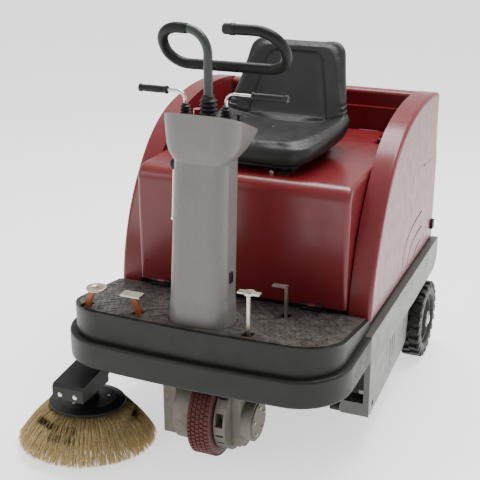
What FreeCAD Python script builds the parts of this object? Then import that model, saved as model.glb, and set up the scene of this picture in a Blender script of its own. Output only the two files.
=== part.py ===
import FreeCAD
import Part
import math
import os

os.makedirs("parts", exist_ok=True)
V = FreeCAD.Vector

# Ride-on sweeper, in millimetres.  While it is drawn, x = 0 is the centre line,
# y = 0 is the front face of the bumper, +y runs to the rear and z = 0 is the floor.
# The driver faces -y, so +x is the driver's left.  ORIGIN_X and ORIGIN_Y move the
# finished pieces so that the row origin is the middle of the bounding box on the floor.
ORIGIN_X = -78.45
ORIGIN_Y = 574.263

# driving dimensions
BUMPER_HALF_W = 440.0
BUMPER_Z0 = 313.0
BUMPER_Z1 = 399.0
BUMPER_END_Y = 357.0
CORNER_R = 159.0
FRONT_BOW = 9.0
LEDGE = 21.0
WALL = 6.0
DECK_HALF_W = BUMPER_HALF_W - LEDGE
DECK_Z_FRONT = 489.0
DECK_Z_REAR = 433.0
DECK_END_Y = 400.0
MAT_T = 4.0
BODY_FRONT_Y = 402.0
BODY_REAR_Y = 1225.0
SKIRT_REAR_Y = 1250.0
COVER_INNER_X = 349.0
HOOD_HALF_W = 345.0
HOOD_TOP_Z = 825.0
STEER_Y = 187.0
WHEEL_F_Y = 221.0
WHEEL_F_R = 143.5
WHEEL_F_HALF = 36.0
WHEEL_R_Y = 1105.0
WHEEL_R_R = 139.0
WHEEL_R_X0 = 381.0
WHEEL_R_X1 = 451.0
BROOM_Y = 660.0
BROOM_R = 128.0
ARM_PIVOT_Y = 440.0
ARM_PIVOT_Z = 300.0
SIDE_TILT = 4.0
SIDE_R = 216.0
SIDE_X = -394.0
SIDE_Y = 114.0
SIDE_Z = 15.6
SIDE_PIVOT_Y = 315.0
SIDE_PIVOT_Z = 285.0
HOOD_HINGE_Y = 394.0
HOOD_HINGE_Z = 452.0
LEVER_Y = 180.0
LEVER_PIVOT_Z = 930.0
LEVER_RIGHT_X = -66.0
LEVER_LEFT_X = 55.0
TUBE_R = 12.5
LID_HINGE_Y = 1143.0
LID_HINGE_Z = 807.0
STOP_X = -42.0
STOP_Y = 210.0
KEY_X = 92.0


def box(x0, x1, y0, y1, z0, z1):
    return Part.makeBox(x1 - x0, y1 - y0, z1 - z0, V(x0, y0, z0))


def cyl_x(x0, x1, y, z, r):
    return Part.makeCylinder(r, x1 - x0, V(x0, y, z), V(1, 0, 0))


def cyl_z(x, y, z0, z1, r):
    return Part.makeCylinder(r, z1 - z0, V(x, y, z0), V(0, 0, 1))


def plate_yz(points, x0, x1):
    wire = Part.makePolygon([V(x0, y, z) for y, z in points] + [V(x0, points[0][0], points[0][1])])
    return Part.Face(wire).extrude(V(x1 - x0, 0, 0))


def mirror_x(shape):
    return shape.mirror(V(0, 0, 0), V(1, 0, 0))


def rounded(shape, radius, pick):
    edges = [e for e in shape.Edges if pick(e)]
    return shape.makeFillet(radius, edges)


def nose_face(half_w, front, corner, end, z):
    # flat outline with a slightly bowed front and two round front corners
    by = front + FRONT_BOW
    c = corner * math.sin(math.radians(45))
    left = Part.makeLine(V(-half_w, end, z), V(-half_w, by + corner, z))
    arc1 = Part.Arc(V(-half_w, by + corner, z),
                    V(-half_w + corner - c, by + corner - c, z),
                    V(-half_w + corner, by, z)).toShape()
    bow = Part.Arc(V(-half_w + corner, by, z), V(0, front, z), V(half_w - corner, by, z)).toShape()
    arc2 = Part.Arc(V(half_w - corner, by, z),
                    V(half_w - corner + c, by + corner - c, z),
                    V(half_w, by + corner, z)).toShape()
    right = Part.makeLine(V(half_w, by + corner, z), V(half_w, end, z))
    back = Part.makeLine(V(half_w, end, z), V(-half_w, end, z))
    return Part.Face(Part.Wire([left, arc1, bow, arc2, right, back]))


def nose_block(inset, end, z0, z1, half_w=BUMPER_HALF_W, front=0.0, corner=CORNER_R):
    face = nose_face(half_w - inset, front + inset, corner - inset, end, z0)
    return face.extrude(V(0, 0, z1 - z0))


def above_slope(lift):
    # everything above the sloping deck plane raised by lift
    y0 = -400.0
    y1 = 1400.0
    slope = (DECK_Z_REAR - DECK_Z_FRONT) / (DECK_END_Y - LEDGE)
    z0 = DECK_Z_FRONT + slope * (y0 - LEDGE) + lift
    z1 = DECK_Z_FRONT + slope * (y1 - LEDGE) + lift
    return plate_yz([(y0, z0), (y1, z1), (y1, 2500.0), (y0, 2500.0)], -900.0, 900.0)


def deck_z(y):
    return DECK_Z_FRONT + (DECK_Z_REAR - DECK_Z_FRONT) * (y - LEDGE) / (DECK_END_Y - LEDGE)


PEDALS = {
    "pedal_broom": (-352.0, 92.0),
    "pedal_flap": (-186.0, 92.0),
    "pedal_drive": (163.0, 78.0),
    "pedal_brake": (192.0, 300.0),
}


def pedal_slots(z0, z1):
    cut = []
    for x, y in PEDALS.values():
        cut.append(box(x - 15, x + 15, y - 27, y + 17, z0, z1))
    return cut


def round_rect(x0, x1, y0, y1, r, z):
    c = r * (1 - math.sin(math.radians(45)))
    parts = [
        Part.makeLine(V(x0 + r, y0, z), V(x1 - r, y0, z)),
        Part.Arc(V(x1 - r, y0, z), V(x1 - c, y0 + c, z), V(x1, y0 + r, z)).toShape(),
        Part.makeLine(V(x1, y0 + r, z), V(x1, y1 - r, z)),
        Part.Arc(V(x1, y1 - r, z), V(x1 - c, y1 - c, z), V(x1 - r, y1, z)).toShape(),
        Part.makeLine(V(x1 - r, y1, z), V(x0 + r, y1, z)),
        Part.Arc(V(x0 + r, y1, z), V(x0 + c, y1 - c, z), V(x0, y1 - r, z)).toShape(),
        Part.makeLine(V(x0, y1 - r, z), V(x0, y0 + r, z)),
        Part.Arc(V(x0, y0 + r, z), V(x0 + c, y0 + c, z), V(x0 + r, y0, z)).toShape(),
    ]
    return Part.Wire(parts)


def block_rr(x0, x1, y0, y1, z0, z1, r):
    return Part.Face(round_rect(x0, x1, y0, y1, r, z0)).extrude(V(0, 0, z1 - z0))


# ------------------------------------------------------------ chassis

def chassis_frame():
    pieces = []
    for s in (-1, 1):
        xs = sorted((s * 350.0, s * 385.0))
        pieces.append(box(xs[0], xs[1], 120, 1205, 345, 395))
        # rear axle plate and stub
        xs = sorted((s * 350.0, s * 366.0))
        pieces.append(box(xs[0], xs[1], WHEEL_R_Y - 34, WHEEL_R_Y + 34, 105, 350))
        xs = sorted((s * 360.0, s * 446.0))
        pieces.append(cyl_x(xs[0], xs[1], WHEEL_R_Y, WHEEL_R_R, 12.0))
        # broom arm bracket and pivot stub
        xs = sorted((s * 350.0, s * 365.0))
        pieces.append(box(xs[0], xs[1], ARM_PIVOT_Y - 22, ARM_PIVOT_Y + 22, 278, 350))
        xs = sorted((s * 360.0, s * 380.0))
        pieces.append(cyl_x(xs[0], xs[1], ARM_PIVOT_Y, ARM_PIVOT_Z, 14.0))
        # splash plate behind the open front of the side box, and a round buffer beside it
        xs = sorted((s * 384.0, s * 426.0))
        pieces.append(box(xs[0], xs[1], 398, 402, 196, 290))
        xs = sorted((s * 380.0, s * 390.0))
        pieces.append(box(xs[0], xs[1], 398, 402, 196, 350))
        xs = sorted((s * 318.0, s * 349.0))
        pieces.append(cyl_x(xs[0], xs[1], 372, 144, 15.0))
        xs = sorted((s * 330.0, s * 336.0))
        pieces.append(box(xs[0], xs[1], 364, 380, 144, 392))
        xs = sorted((s * 330.0, s * 352.0))
        pieces.append(box(xs[0], xs[1], 364, 380, 350, 390))
    pieces.append(box(-352, 352, 120, 148, 345, 395))
    pieces.append(box(-352, 352, 228, 256, 345, 395))
    pieces.append(box(-352, 352, 392, 420, 345, 395))
    pieces.append(box(-352, 352, 898, 922, 345, 395))
    pieces.append(box(-58, 58, 140, 236, 340, 398))
    # ears and pin of the side broom arm
    pieces.append(box(-430, -424.4, 297, 333, 268, 345))
    pieces.append(box(-345.6, -338, 297, 333, 268, 350))
    pieces.append(box(-430, -352, 297, 333, 337, 347))
    pieces.append(cyl_x(-430, -340, SIDE_PIVOT_Y, SIDE_PIVOT_Z, 7.0))
    shape = pieces[0]
    for p in pieces[1:]:
        shape = shape.fuse(p)
    # king pin bore, and the motor shaft's passage on the driver's right
    shape = shape.cut(cyl_z(0, STEER_Y, 330, 410, 22.0))
    shape = shape.cut(cyl_x(-390, -345, ARM_PIVOT_Y, ARM_PIVOT_Z, 8.0))
    return shape.removeSplitter()


def front_bumper():
    shell = nose_block(0, BUMPER_END_Y, BUMPER_Z0, BUMPER_Z1)
    shell = rounded(shell, 9.0, lambda e: e.BoundBox.ZLength < 0.01 and e.BoundBox.YMax < BUMPER_END_Y + 1
                    and not (e.BoundBox.YMin > BUMPER_END_Y - 1))
    inner = nose_block(8, BUMPER_END_Y + 1, BUMPER_Z0 - 1, BUMPER_Z1 - 7)
    top = nose_block(34, BUMPER_END_Y + 1, BUMPER_Z1 - 8, BUMPER_Z1 + 1)
    return shell.cut(inner).cut(top)


def deck_platform():
    outer = nose_block(LEDGE, DECK_END_Y, BUMPER_Z1, DECK_Z_FRONT + 20)
    outer = outer.cut(above_slope(0))
    inner = nose_block(LEDGE + WALL, DECK_END_Y - WALL, BUMPER_Z1 - 1, DECK_Z_FRONT + 20)
    inner = inner.cut(above_slope(-WALL))
    deck = outer.cut(inner)
    deck = deck.cut(cyl_z(0, STEER_Y, 390, 520, 15.0))
    for slot in pedal_slots(390, 520):
        deck = deck.cut(slot)
    return deck


def deck_mat():
    mat = nose_block(LEDGE + 13, DECK_END_Y - 3, BUMPER_Z1, DECK_Z_FRONT + 20)
    mat = mat.cut(above_slope(MAT_T)).common(above_slope(0))
    mat = mat.cut(block_rr(-94, 94, 57, 211, 390, 520, 55))
    for slot in pedal_slots(390, 520):
        mat = mat.cut(slot)
    mat = mat.cut(box(-300, -230, 380, 420, 390, 520))
    return mat.cut(box(205, 275, 380, 420, 390, 520))


def side_skirt():
    # band that carries the bumper line to the rear, lower panel and wheel arch
    band = [(BUMPER_END_Y, BUMPER_Z0), (BUMPER_END_Y, 398.9), (DECK_END_Y + 1, 398.9), (SKIRT_REAR_Y, 407),
            (SKIRT_REAR_Y - 6, 318), (1200, 296), (1000, 292), (930, 288), (BUMPER_END_Y + 40, 292)]
    outer = plate_yz(band, BUMPER_HALF_W - 6, BUMPER_HALF_W)
    ledge = plate_yz([(BUMPER_END_Y, 392), (BUMPER_END_Y, 398.9), (DECK_END_Y + 1, 398.9),
                      (SKIRT_REAR_Y, 407), (SKIRT_REAR_Y, 400), (DECK_END_Y + 1, 392)],
                     BUMPER_HALF_W - 30, BUMPER_HALF_W)
    rear = box(BUMPER_HALF_W - 30, BUMPER_HALF_W, SKIRT_REAR_Y - 6, SKIRT_REAR_Y, 330, BUMPER_Z1 + 2)
    panel_pts = [(BUMPER_END_Y, 312.9), (BUMPER_END_Y + 4, 142), (BUMPER_END_Y + 16, 130),
                 (830, 127), (905, 140), (938, 296), (BUMPER_END_Y + 45, 300)]
    panel = plate_yz(panel_pts, BUMPER_HALF_W - 6, BUMPER_HALF_W)
    hinge = V(BUMPER_HALF_W - 6, BUMPER_END_Y, 0)
    panel.rotate(hinge, V(0, 0, 1), 2.2)
    front = box(BUMPER_HALF_W - 88, BUMPER_HALF_W, BUMPER_END_Y + 1, BUMPER_END_Y + 7, 131, 174)
    shelf = box(BUMPER_HALF_W - 88, BUMPER_HALF_W - 2, BUMPER_END_Y + 1, BUMPER_END_Y + 58, 168, 174)
    post = box(BUMPER_HALF_W - 18, BUMPER_HALF_W, BUMPER_END_Y + 1, BUMPER_END_Y + 7, 131, 312.9)
    front = front.fuse(shelf).fuse(post)
    shape = outer.fuse(ledge).fuse(rear).fuse(panel).fuse(front)
    # jacking hole near the front corner
    shape = shape.cut(cyl_x(380, 470, 408, 156, 11.0))
    # three slim vents
    for k, y in enumerate((640.0, 672.0, 704.0)):
        shape = shape.cut(box(400, 460, y - 3.5, y + 3.5, 172 + 12 * k, 268 + 6 * k))
    return shape.removeSplitter()


LOUVRES = [
    [(784, 432), (792, 478), (812, 516), (850, 543), (905, 560), (975, 569), (1040, 573)],
    [(856, 432), (866, 462), (888, 487), (925, 503), (985, 512), (1045, 515)],
    [(944, 432), (960, 448), (990, 459), (1045, 466)],
]
COVER_PROFILE = [(413, 408), (462, 618), (580, 802), (676, 885), (792, 936), (1000, 966), (1213, 950)]


def cover_face(inset, x):
    pts = []
    for y, z in COVER_PROFILE:
        pts.append(V(x, y, z))
    curves = []
    for k in range(0, len(pts) - 2, 2):
        curves.append(Part.Arc(pts[k], pts[k + 1], pts[k + 2]).toShape())
    last = pts[-1]
    rear_y = SKIRT_REAR_Y - 12
    rear = [last, V(x, BODY_REAR_Y, 744), V(x, rear_y, 740), V(x, rear_y, 408.5), pts[0]]
    lines = []
    for a, b in zip(rear[:-1], rear[1:]):
        lines.append(Part.makeLine(a, b))
    face = Part.Face(Part.Wire(curves + lines))
    if inset:
        face = face.makeOffset2D(-inset)
    return face


def side_cover():
    body = cover_face(0, COVER_INNER_X).extrude(V(DECK_HALF_W - COVER_INNER_X, 0, 0))
    body = rounded(body, 14.0, lambda e: e.BoundBox.XMin > DECK_HALF_W - 1 and e.BoundBox.ZLength > 0.1)
    inner = cover_face(5.0, COVER_INNER_X + 5).extrude(V(DECK_HALF_W - COVER_INNER_X - 10, 0, 0))
    body = body.cut(inner)
    body = body.cut(box(COVER_INNER_X + 5, DECK_HALF_W - 5, 430, SKIRT_REAR_Y - 22, 400, 430))
    # three curved louvre grooves pressed in the outer side
    for spine in LOUVRES:
        ridge = []
        for k, (y, z) in enumerate(spine):
            y0, z0 = spine[max(0, k - 1)]
            y1, z1 = spine[min(len(spine) - 1, k + 1)]
            run = math.hypot(y1 - y0, z1 - z0)
            ridge.append((y, z, -(z1 - z0) / run * 3.2, (y1 - y0) / run * 3.2))
        loop = [(y + dy, z + dz) for y, z, dy, dz in ridge]
        loop += [(y - dy, z - dz) for y, z, dy, dz in reversed(ridge)]
        body = body.cut(plate_yz(loop, DECK_HALF_W - 2.5, DECK_HALF_W + 5))
    return body


def rear_cover():
    w = HOOD_HALF_W
    shape = box(-w, w, 925, BODY_REAR_Y, 790, 798)
    shape = shape.fuse(box(-w, w, 925, 931, 700, 798))
    shape = shape.fuse(box(-w, w, 1172, BODY_REAR_Y, 790, 948))
    shape = shape.cut(box(-w + 6, w - 6, 1178, BODY_REAR_Y - 6, 780, 942))
    shape = shape.fuse(box(-w, w, 1150, 1178, 886, 892)).fuse(box(-w, w, 1150, 1156, 796, 892))
    shape = shape.fuse(box(-w, w, BODY_REAR_Y - 6, BODY_REAR_Y, 680, 790))
    shape = shape.fuse(box(-w, -w + 6, 925, BODY_REAR_Y, 700, 798))
    shape = shape.fuse(box(w - 6, w, 925, BODY_REAR_Y, 700, 798))
    # opening under the filter lid
    shape = shape.cut(box(-240, 240, 945, 1125, 780, 800))
    shape = rounded(shape, 14.0, lambda e: e.BoundBox.XLength > 600 and abs(e.BoundBox.ZMin - 948) < 0.1)
    return shape.removeSplitter()


# (height, half width, front, rear, corner radius) of the column: flared foot, leaning shaft, and cup
COLUMN_LEVELS = [(438, 92, 57, 210, 54), (530, 89, 62, 208, 52), (556, 86, 66, 208, 48),
                 (945, 80, 105, 232, 38), (955, 88, 103, 244, 42), (969, 98.5, 101, 263, 48),
                 (987, 106, 99, 294, 56), (1005, 109, 98, 321, 60), (1030, 111, 97, 336, 62),
                 (1092, 114, 97, 344, 64)]


def column_block(grow):
    # every level is a rounded rectangle; grow sets the skin back for the inside
    rings = []
    for z, hw, y0, y1, r in COLUMN_LEVELS:
        rings.append(round_rect(-hw + grow, hw - grow, y0 + grow, y1 - grow, r - grow, z))
    return Part.makeLoft(rings, True, True)


def column_top(lift):
    # region above the tilted top of the column
    z0 = 1083.0 + lift
    pts = [(-100, z0 + 0.39 * 197), (500, z0 - 0.39 * 403), (500, 1500), (-100, 1500)]
    return plate_yz(pts, -400, 400)


def steering_column():
    shape = column_block(0).cut(column_block(4.5)).cut(column_top(0))
    shape = shape.common(above_slope(0.0))
    shape = shape.cut(box(76, 100, 125, 147, 602, 634))
    shape = shape.cut(cyl_x(-130, -70, LEVER_Y, 915, 7.0))
    return shape


def dash_panel():
    inner = column_block(5.0)
    plate = inner.cut(column_top(-10)).common(column_top(-14))
    # level seats under the three boots
    for x, y, z, r in ((0, STEER_Y, 1044.7, 29.0), (LEVER_RIGHT_X, LEVER_Y, 1046.3, 20.0),
                       (LEVER_LEFT_X, LEVER_Y, 1046.3, 20.0)):
        plate = plate.cut(cyl_z(x, y, z, 1100, r)).fuse(cyl_z(x, y, 1018, z, r))
    plate = plate.cut(cyl_z(0, STEER_Y, 900, 1200, 15.0))
    for x in (LEVER_RIGHT_X, LEVER_LEFT_X):
        plate = plate.cut(box(x - 11, x + 11, LEVER_Y - 12, LEVER_Y + 60, 900, 1200))
    plate = plate.cut(cyl_z(STOP_X, STOP_Y, 900, 1200, 6.5))
    return plate.cut(cyl_z(KEY_X, 186, 900, 1200, 6.5)).removeSplitter()


def boot(x, y, z0, pleats, r0, r1, hole, pitch):
    # bellows: a stack of pleats that narrows upwards
    pts = [V(hole, 0, z0)]
    z = z0
    for k in range(pleats):
        r = r0 + (r1 - r0) * k / max(1, pleats - 1)
        for dr, dz in ((3, 0.0), (0, 0.35), (0, 0.6), (3, 0.85)):
            pts.append(V(r - dr, 0, z + pitch * dz))
        z += pitch
    for r, dz in ((r1 - 3, 0.0), (hole + 3.0, 0.6), (hole + 3.0, 1.3), (hole, 1.3)):
        pts.append(V(r, 0, z + pitch * dz))
    wire = Part.makePolygon(pts + [pts[0]])
    solid = Part.Face(wire).revolve(V(0, 0, 0), V(0, 0, 1), 360)
    solid.translate(V(x, y, 0))
    return solid


def steering_boot():
    return boot(0, STEER_Y, 1044.8, 5, 26.0, 23.0, TUBE_R + 0.4, 11.5)


def lever_boot(x):
    return boot(x, LEVER_Y, 1046.5, 4, 17.0, 13.5, 5.6, 8.5)


def column_socket():
    return box(77, 89, 126, 146, 603, 633).cut(box(86, 90, 130, 142, 607, 629))


def battery_tray():
    tray = box(-340, 340, 470, 770, 395, 430)
    return tray.cut(box(-336, 336, 474, 766, 399, 440))


def batteries():
    out = []
    for k in range(4):
        x0 = -332.0 + k * 167.0
        case = box(x0, x0 + 163, 490, 748, 399.2, 640)
        case = rounded(case, 8.0, lambda e: e.BoundBox.ZLength > 100)
        lid = box(x0 + 4, x0 + 159, 494, 744, 639, 652)
        case = case.fuse(lid)
        for y in (540.0, 700.0):
            case = case.fuse(cyl_z(x0 + 40, y, 650, 668, 9.0))
        out.append(case.removeSplitter())
    return Part.makeCompound(out)


def broom_chamber():
    pts = [(505, 82), (505, 240), (560, 305), (800, 305), (880, 250), (880, 236), (866, 236),
           (795, 299), (563, 299), (511, 237), (511, 82)]
    roof = plate_yz(pts, -368, 368)
    shape = roof
    for s in (-1, 1):
        xs = sorted((s * 362.0, s * 368.0))
        outline = [(505, 82), (505, 240), (560, 305), (800, 305), (866, 252), (866, 60), (610, 60)]
        wall = plate_yz(outline, xs[0], xs[1])
        wall = wall.cut(box(xs[0] - 1, xs[1] + 1, BROOM_Y - 22, BROOM_Y + 62, BROOM_R - 30, BROOM_R + 62))
        shape = shape.fuse(wall)
    return shape.removeSplitter()


def dust_flaps():
    # the front flap is held high to let bulky litter in, the rear one wipes the floor
    front = box(-366, 366, 498, 503, 78, 160)
    rear = box(-340, 340, 884, 889, 8, 130)
    return Part.makeCompound([front, rear])


def vacuum_fan():
    drum = cyl_z(-190, 850, 430, 500, 62.0)
    outlet = box(-190, -100, 850, 905, 440, 490)
    motor = cyl_z(-190, 850, 495, 590, 42.0)
    return drum.fuse(outlet).fuse(motor).removeSplitter()


def panel_filter():
    frame = box(-238, 238, 947, 1123, 700, 778)
    for k in range(11):
        y = 957.0 + k * 14.5
        frame = frame.cut(box(-226, 226, y, y + 8, 712, 780))
    return frame


def broom_motor():
    body = cyl_x(-340, -170, ARM_PIVOT_Y, ARM_PIVOT_Z, 41.0)
    cap = cyl_x(-170, -152, ARM_PIVOT_Y, ARM_PIVOT_Z, 30.0)
    foot = box(-320, -190, ARM_PIVOT_Y - 30, ARM_PIVOT_Y + 30, 320, 344.9)
    return body.fuse(cap).fuse(foot).cut(cyl_x(-345, -300, ARM_PIVOT_Y, ARM_PIVOT_Z, 7.0)).removeSplitter()


def hood_hinges():
    out = []
    for x in (-265.0, 240.0):
        leaf = box(x - 32, x + 32, HOOD_HINGE_Y - 10, HOOD_HINGE_Y + 5, 434, 446)
        leaf = leaf.fuse(cyl_x(x - 32, x - 12, HOOD_HINGE_Y, HOOD_HINGE_Z, 6.0))
        leaf = leaf.fuse(cyl_x(x + 12, x + 32, HOOD_HINGE_Y, HOOD_HINGE_Z, 6.0))
        leaf = leaf.fuse(cyl_x(x - 32, x + 32, HOOD_HINGE_Y, HOOD_HINGE_Z, 2.5))
        leaf = leaf.cut(box(x - 11.8, x + 11.8, HOOD_HINGE_Y - 11, HOOD_HINGE_Y + 6, 445, 458).cut(
            cyl_x(x - 32, x + 32, HOOD_HINGE_Y, HOOD_HINGE_Z, 2.5)))
        out.append(leaf.common(above_slope(0)).removeSplitter())
    return Part.makeCompound(out)


# ------------------------------------------------------------ steering

# route of the handlebar: straight runs, with the radius of the arc at each corner
BAR_POINTS = [(0, 187, 1000), (0, 187, 1291), (-151, 191, 1293), (-148, 265, 1181),
              (204, 268, 1183), (202, 197, 1296), (62, 196, 1296)]
BAR_RADII = [66.0, 62.0, 60.0, 56.0, 74.0]


def tube(points, radii, r):
    # round tube along straight runs joined by tangent arcs
    pts = [V(*p) for p in points]
    edges = []
    last = pts[0]
    for k in range(1, len(pts) - 1):
        back = pts[k - 1].sub(pts[k])
        ahead = pts[k + 1].sub(pts[k])
        back.normalize()
        ahead.normalize()
        half = back.getAngle(ahead) / 2
        reach = radii[k - 1] / math.tan(half)
        start = pts[k] + back * reach
        end = pts[k] + ahead * reach
        bisect = back + ahead
        bisect.normalize()
        middle = pts[k] + bisect * (radii[k - 1] / math.sin(half) - radii[k - 1])
        edges.append(Part.makeLine(last, start))
        edges.append(Part.Arc(start, middle, end).toShape())
        last = end
    edges.append(Part.makeLine(last, pts[-1]))
    circle = Part.Wire([Part.makeCircle(r, pts[0], pts[1].sub(pts[0]))])
    return Part.Wire(edges).makePipeShell([circle], True, False)


def steering_bar():
    return tube(BAR_POINTS, BAR_RADII, TUBE_R)


def bar_cap():
    return cyl_x(40, 74, 196, 1296, 14.0).cut(cyl_x(61.9, 80, 196, 1296, TUBE_R + 0.05))


def drive_fork():
    top = block_rr(-150, 112, 118, 280, 300, 322, 24)
    left = box(-150, -106, 163, 279, 60, 301)
    left = left.fuse(cyl_x(-150, -106, WHEEL_F_Y, 96, 58.0))
    right = box(76, 104, 163, 279, 60, 301)
    right = right.fuse(cyl_x(76, 104, WHEEL_F_Y, 96, 58.0))
    # round motor cover on the outer side of the right leg
    right = right.fuse(cyl_x(104, 136, WHEEL_F_Y, 128, 64.0)).fuse(cyl_x(136, 141, WHEEL_F_Y, 128, 56.0))
    shaft = cyl_z(0, STEER_Y, 320, 1000, 12.0)
    pin = cyl_z(0, STEER_Y, 320, 400, 21.95)
    shape = top.fuse(left).fuse(right).fuse(shaft).fuse(pin)
    shape = shape.cut(cyl_x(-152, 103, WHEEL_F_Y, WHEEL_F_R, 12.06))
    shape = shape.cut(box(-104, 75, 120, 300, 40, 299.5))
    return shape.removeSplitter()


def gear_case():
    # finned case between the wheel and the right leg, with a square service pocket
    case = cyl_x(40, 75.7, WHEEL_F_Y, WHEEL_F_R, 114.0)
    case = case.cut(cyl_x(30, 80, WHEEL_F_Y, WHEEL_F_R, 14.0))
    case = case.cut(box(45, 69, 96, 150, 146, 188))
    for k in range(24):
        if k in (0, 1, 23):
            continue
        fin = box(45, 70, WHEEL_F_Y - 3.5, WHEEL_F_Y + 3.5, WHEEL_F_R + 104, WHEEL_F_R + 120)
        fin.rotate(V(0, WHEEL_F_Y, WHEEL_F_R), V(1, 0, 0), 15 * k + 74)
        case = case.cut(fin)
    return case


def ring_x(x0, x1, y, z, r_out, r_in, bevel):
    pts = [V(x0, 0, r_in), V(x0, 0, r_out - bevel), V(x0 + bevel, 0, r_out), V(x1 - bevel, 0, r_out),
           V(x1, 0, r_out - bevel), V(x1, 0, r_in)]
    wire = Part.makePolygon(pts + [pts[0]])
    solid = Part.Face(wire).revolve(V(0, 0, 0), V(1, 0, 0), 360)
    solid.translate(V(0, y, z))
    return solid


def front_tyre():
    return ring_x(-WHEEL_F_HALF, WHEEL_F_HALF, WHEEL_F_Y, WHEEL_F_R, WHEEL_F_R, 92.0, 6.0)


def front_hub():
    core = cyl_x(-WHEEL_F_HALF, WHEEL_F_HALF, WHEEL_F_Y, WHEEL_F_R, 92.0)
    drum = cyl_x(-96, -WHEEL_F_HALF, WHEEL_F_Y, WHEEL_F_R, 108.0)
    axle = cyl_x(-140, 100, WHEEL_F_Y, WHEEL_F_R, 12.0)
    return core.fuse(drum).fuse(axle).removeSplitter()


def rear_tyre():
    return ring_x(WHEEL_R_X0, WHEEL_R_X1, WHEEL_R_Y, WHEEL_R_R, WHEEL_R_R, 88.0, 9.0)


def rear_rim():
    disc = cyl_x(WHEEL_R_X0 + 14, WHEEL_R_X1 - 12, WHEEL_R_Y, WHEEL_R_R, 88.0)
    disc = disc.cut(cyl_x(WHEEL_R_X1 - 24, WHEEL_R_X1, WHEEL_R_Y, WHEEL_R_R, 76.0))
    hub = cyl_x(WHEEL_R_X0 + 2, WHEEL_R_X1 + 0.0, WHEEL_R_Y, WHEEL_R_R, 30.0)
    disc = disc.fuse(hub)
    disc = disc.cut(cyl_x(WHEEL_R_X0 - 5, 446.6, WHEEL_R_Y, WHEEL_R_R, 12.06))
    for k in range(5):
        a = math.radians(72 * k + 18)
        y = WHEEL_R_Y + 54 * math.cos(a)
        z = WHEEL_R_R + 54 * math.sin(a)
        disc = disc.cut(cyl_x(WHEEL_R_X0, WHEEL_R_X1 + 5, y, z, 12.0))
    return disc.removeSplitter()


# ------------------------------------------------------------ side broom

def side_arm():
    pts = [(-5, 200), (-5, 240), (3, 248), (150, 262), (301, 300), (330, 300), (330, 271), (200, 216),
           (150, 200)]
    shape = plate_yz(pts, -424, -346)
    head = plate_yz([(-5, 200), (-5, 240), (3, 248), (150, 262), (150, 200)], -435, -331)
    shape = shape.fuse(head)
    shape = shape.cut(cyl_x(-440, -330, SIDE_PIVOT_Y, SIDE_PIVOT_Z, 7.06))
    return shape.removeSplitter()


def side_tilted(shape):
    # drawn upright round the z axis with the tips at z = 0, then tilted into place
    shape.rotate(V(0, 0, 0), V(-1, 0, 0), SIDE_TILT)
    shape.translate(V(SIDE_X, SIDE_Y, SIDE_Z))
    return shape


def spin_profile(points):
    pts = [V(r, 0, z) for r, z in points]
    wire = Part.makePolygon(pts + [pts[0]])
    return Part.Face(wire).revolve(V(0, 0, 0), V(0, 0, 1), 360)


def side_broom_motor():
    body = spin_profile([(0, 143), (34, 143), (34, 190), (0, 190)])
    return side_tilted(body).common(box(-600, -200, -200, 400, 0, 200))


def side_broom_disc():
    pts = [(0, 113), (108, 113), (117, 118), (117, 124), (90, 132), (38, 136), (38, 141), (0, 141)]
    return side_tilted(spin_profile(pts))


def side_broom_bristles():
    ring = spin_profile([(66, 112.8), (114, 112.8), (150, 92), (184, 56), (SIDE_R, 0), (150, 0), (118, 40)])
    return side_tilted(ring)


# ------------------------------------------------------------ main broom

def main_broom_arms():
    out = []
    for s in (-1, 1):
        xs = sorted((s * 373.0, s * 379.0))
        dy = BROOM_Y - ARM_PIVOT_Y
        dz = BROOM_R - ARM_PIVOT_Z
        length = math.hypot(dy, dz)
        ny = -dz / length
        nz = dy / length
        h = 20.0
        quad = [(ARM_PIVOT_Y + ny * h, ARM_PIVOT_Z + nz * h), (BROOM_Y + ny * h, BROOM_R + nz * h),
                (BROOM_Y - ny * h, BROOM_R - nz * h), (ARM_PIVOT_Y - ny * h, ARM_PIVOT_Z - nz * h)]
        arm = plate_yz(quad, xs[0], xs[1])
        arm = arm.fuse(cyl_x(xs[0], xs[1], ARM_PIVOT_Y, ARM_PIVOT_Z, 24.0))
        arm = arm.fuse(cyl_x(xs[0], xs[1], BROOM_Y, BROOM_R, 24.0))
        arm = arm.cut(cyl_x(xs[0] - 5, xs[1] + 5, ARM_PIVOT_Y, ARM_PIVOT_Z, 14.06))
        arm = arm.cut(cyl_x(xs[0] - 5, xs[1] + 5, BROOM_Y, BROOM_R, 10.06))
        out.append(arm.removeSplitter())
    return Part.makeCompound(out)


PULLEY_SMALL = 26.0
PULLEY_LARGE = 60.0


def belt_outline(extra):
    # open belt round both pulleys as a tangent hull
    r1 = PULLEY_SMALL + extra
    r2 = PULLEY_LARGE + extra
    dy = BROOM_Y - ARM_PIVOT_Y
    dz = BROOM_R - ARM_PIVOT_Z
    d = math.hypot(dy, dz)
    base = math.atan2(dz, dy)
    off = math.acos((r1 - r2) / d)
    pts = []
    for sgn, order in ((1, 0), (-1, 1)):
        a = base + sgn * off
        p1 = (ARM_PIVOT_Y + r1 * math.cos(a), ARM_PIVOT_Z + r1 * math.sin(a))
        p2 = (BROOM_Y + r2 * math.cos(a), BROOM_R + r2 * math.sin(a))
        pts += [p1, p2] if order == 0 else [p2, p1]
    hull = plate_yz(pts, -396, -384)
    hull = hull.fuse(cyl_x(-396, -384, ARM_PIVOT_Y, ARM_PIVOT_Z, r1))
    return hull.fuse(cyl_x(-396, -384, BROOM_Y, BROOM_R, r2))


def drive_belt():
    return belt_outline(4.3).cut(belt_outline(0.3)).removeSplitter()


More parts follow.
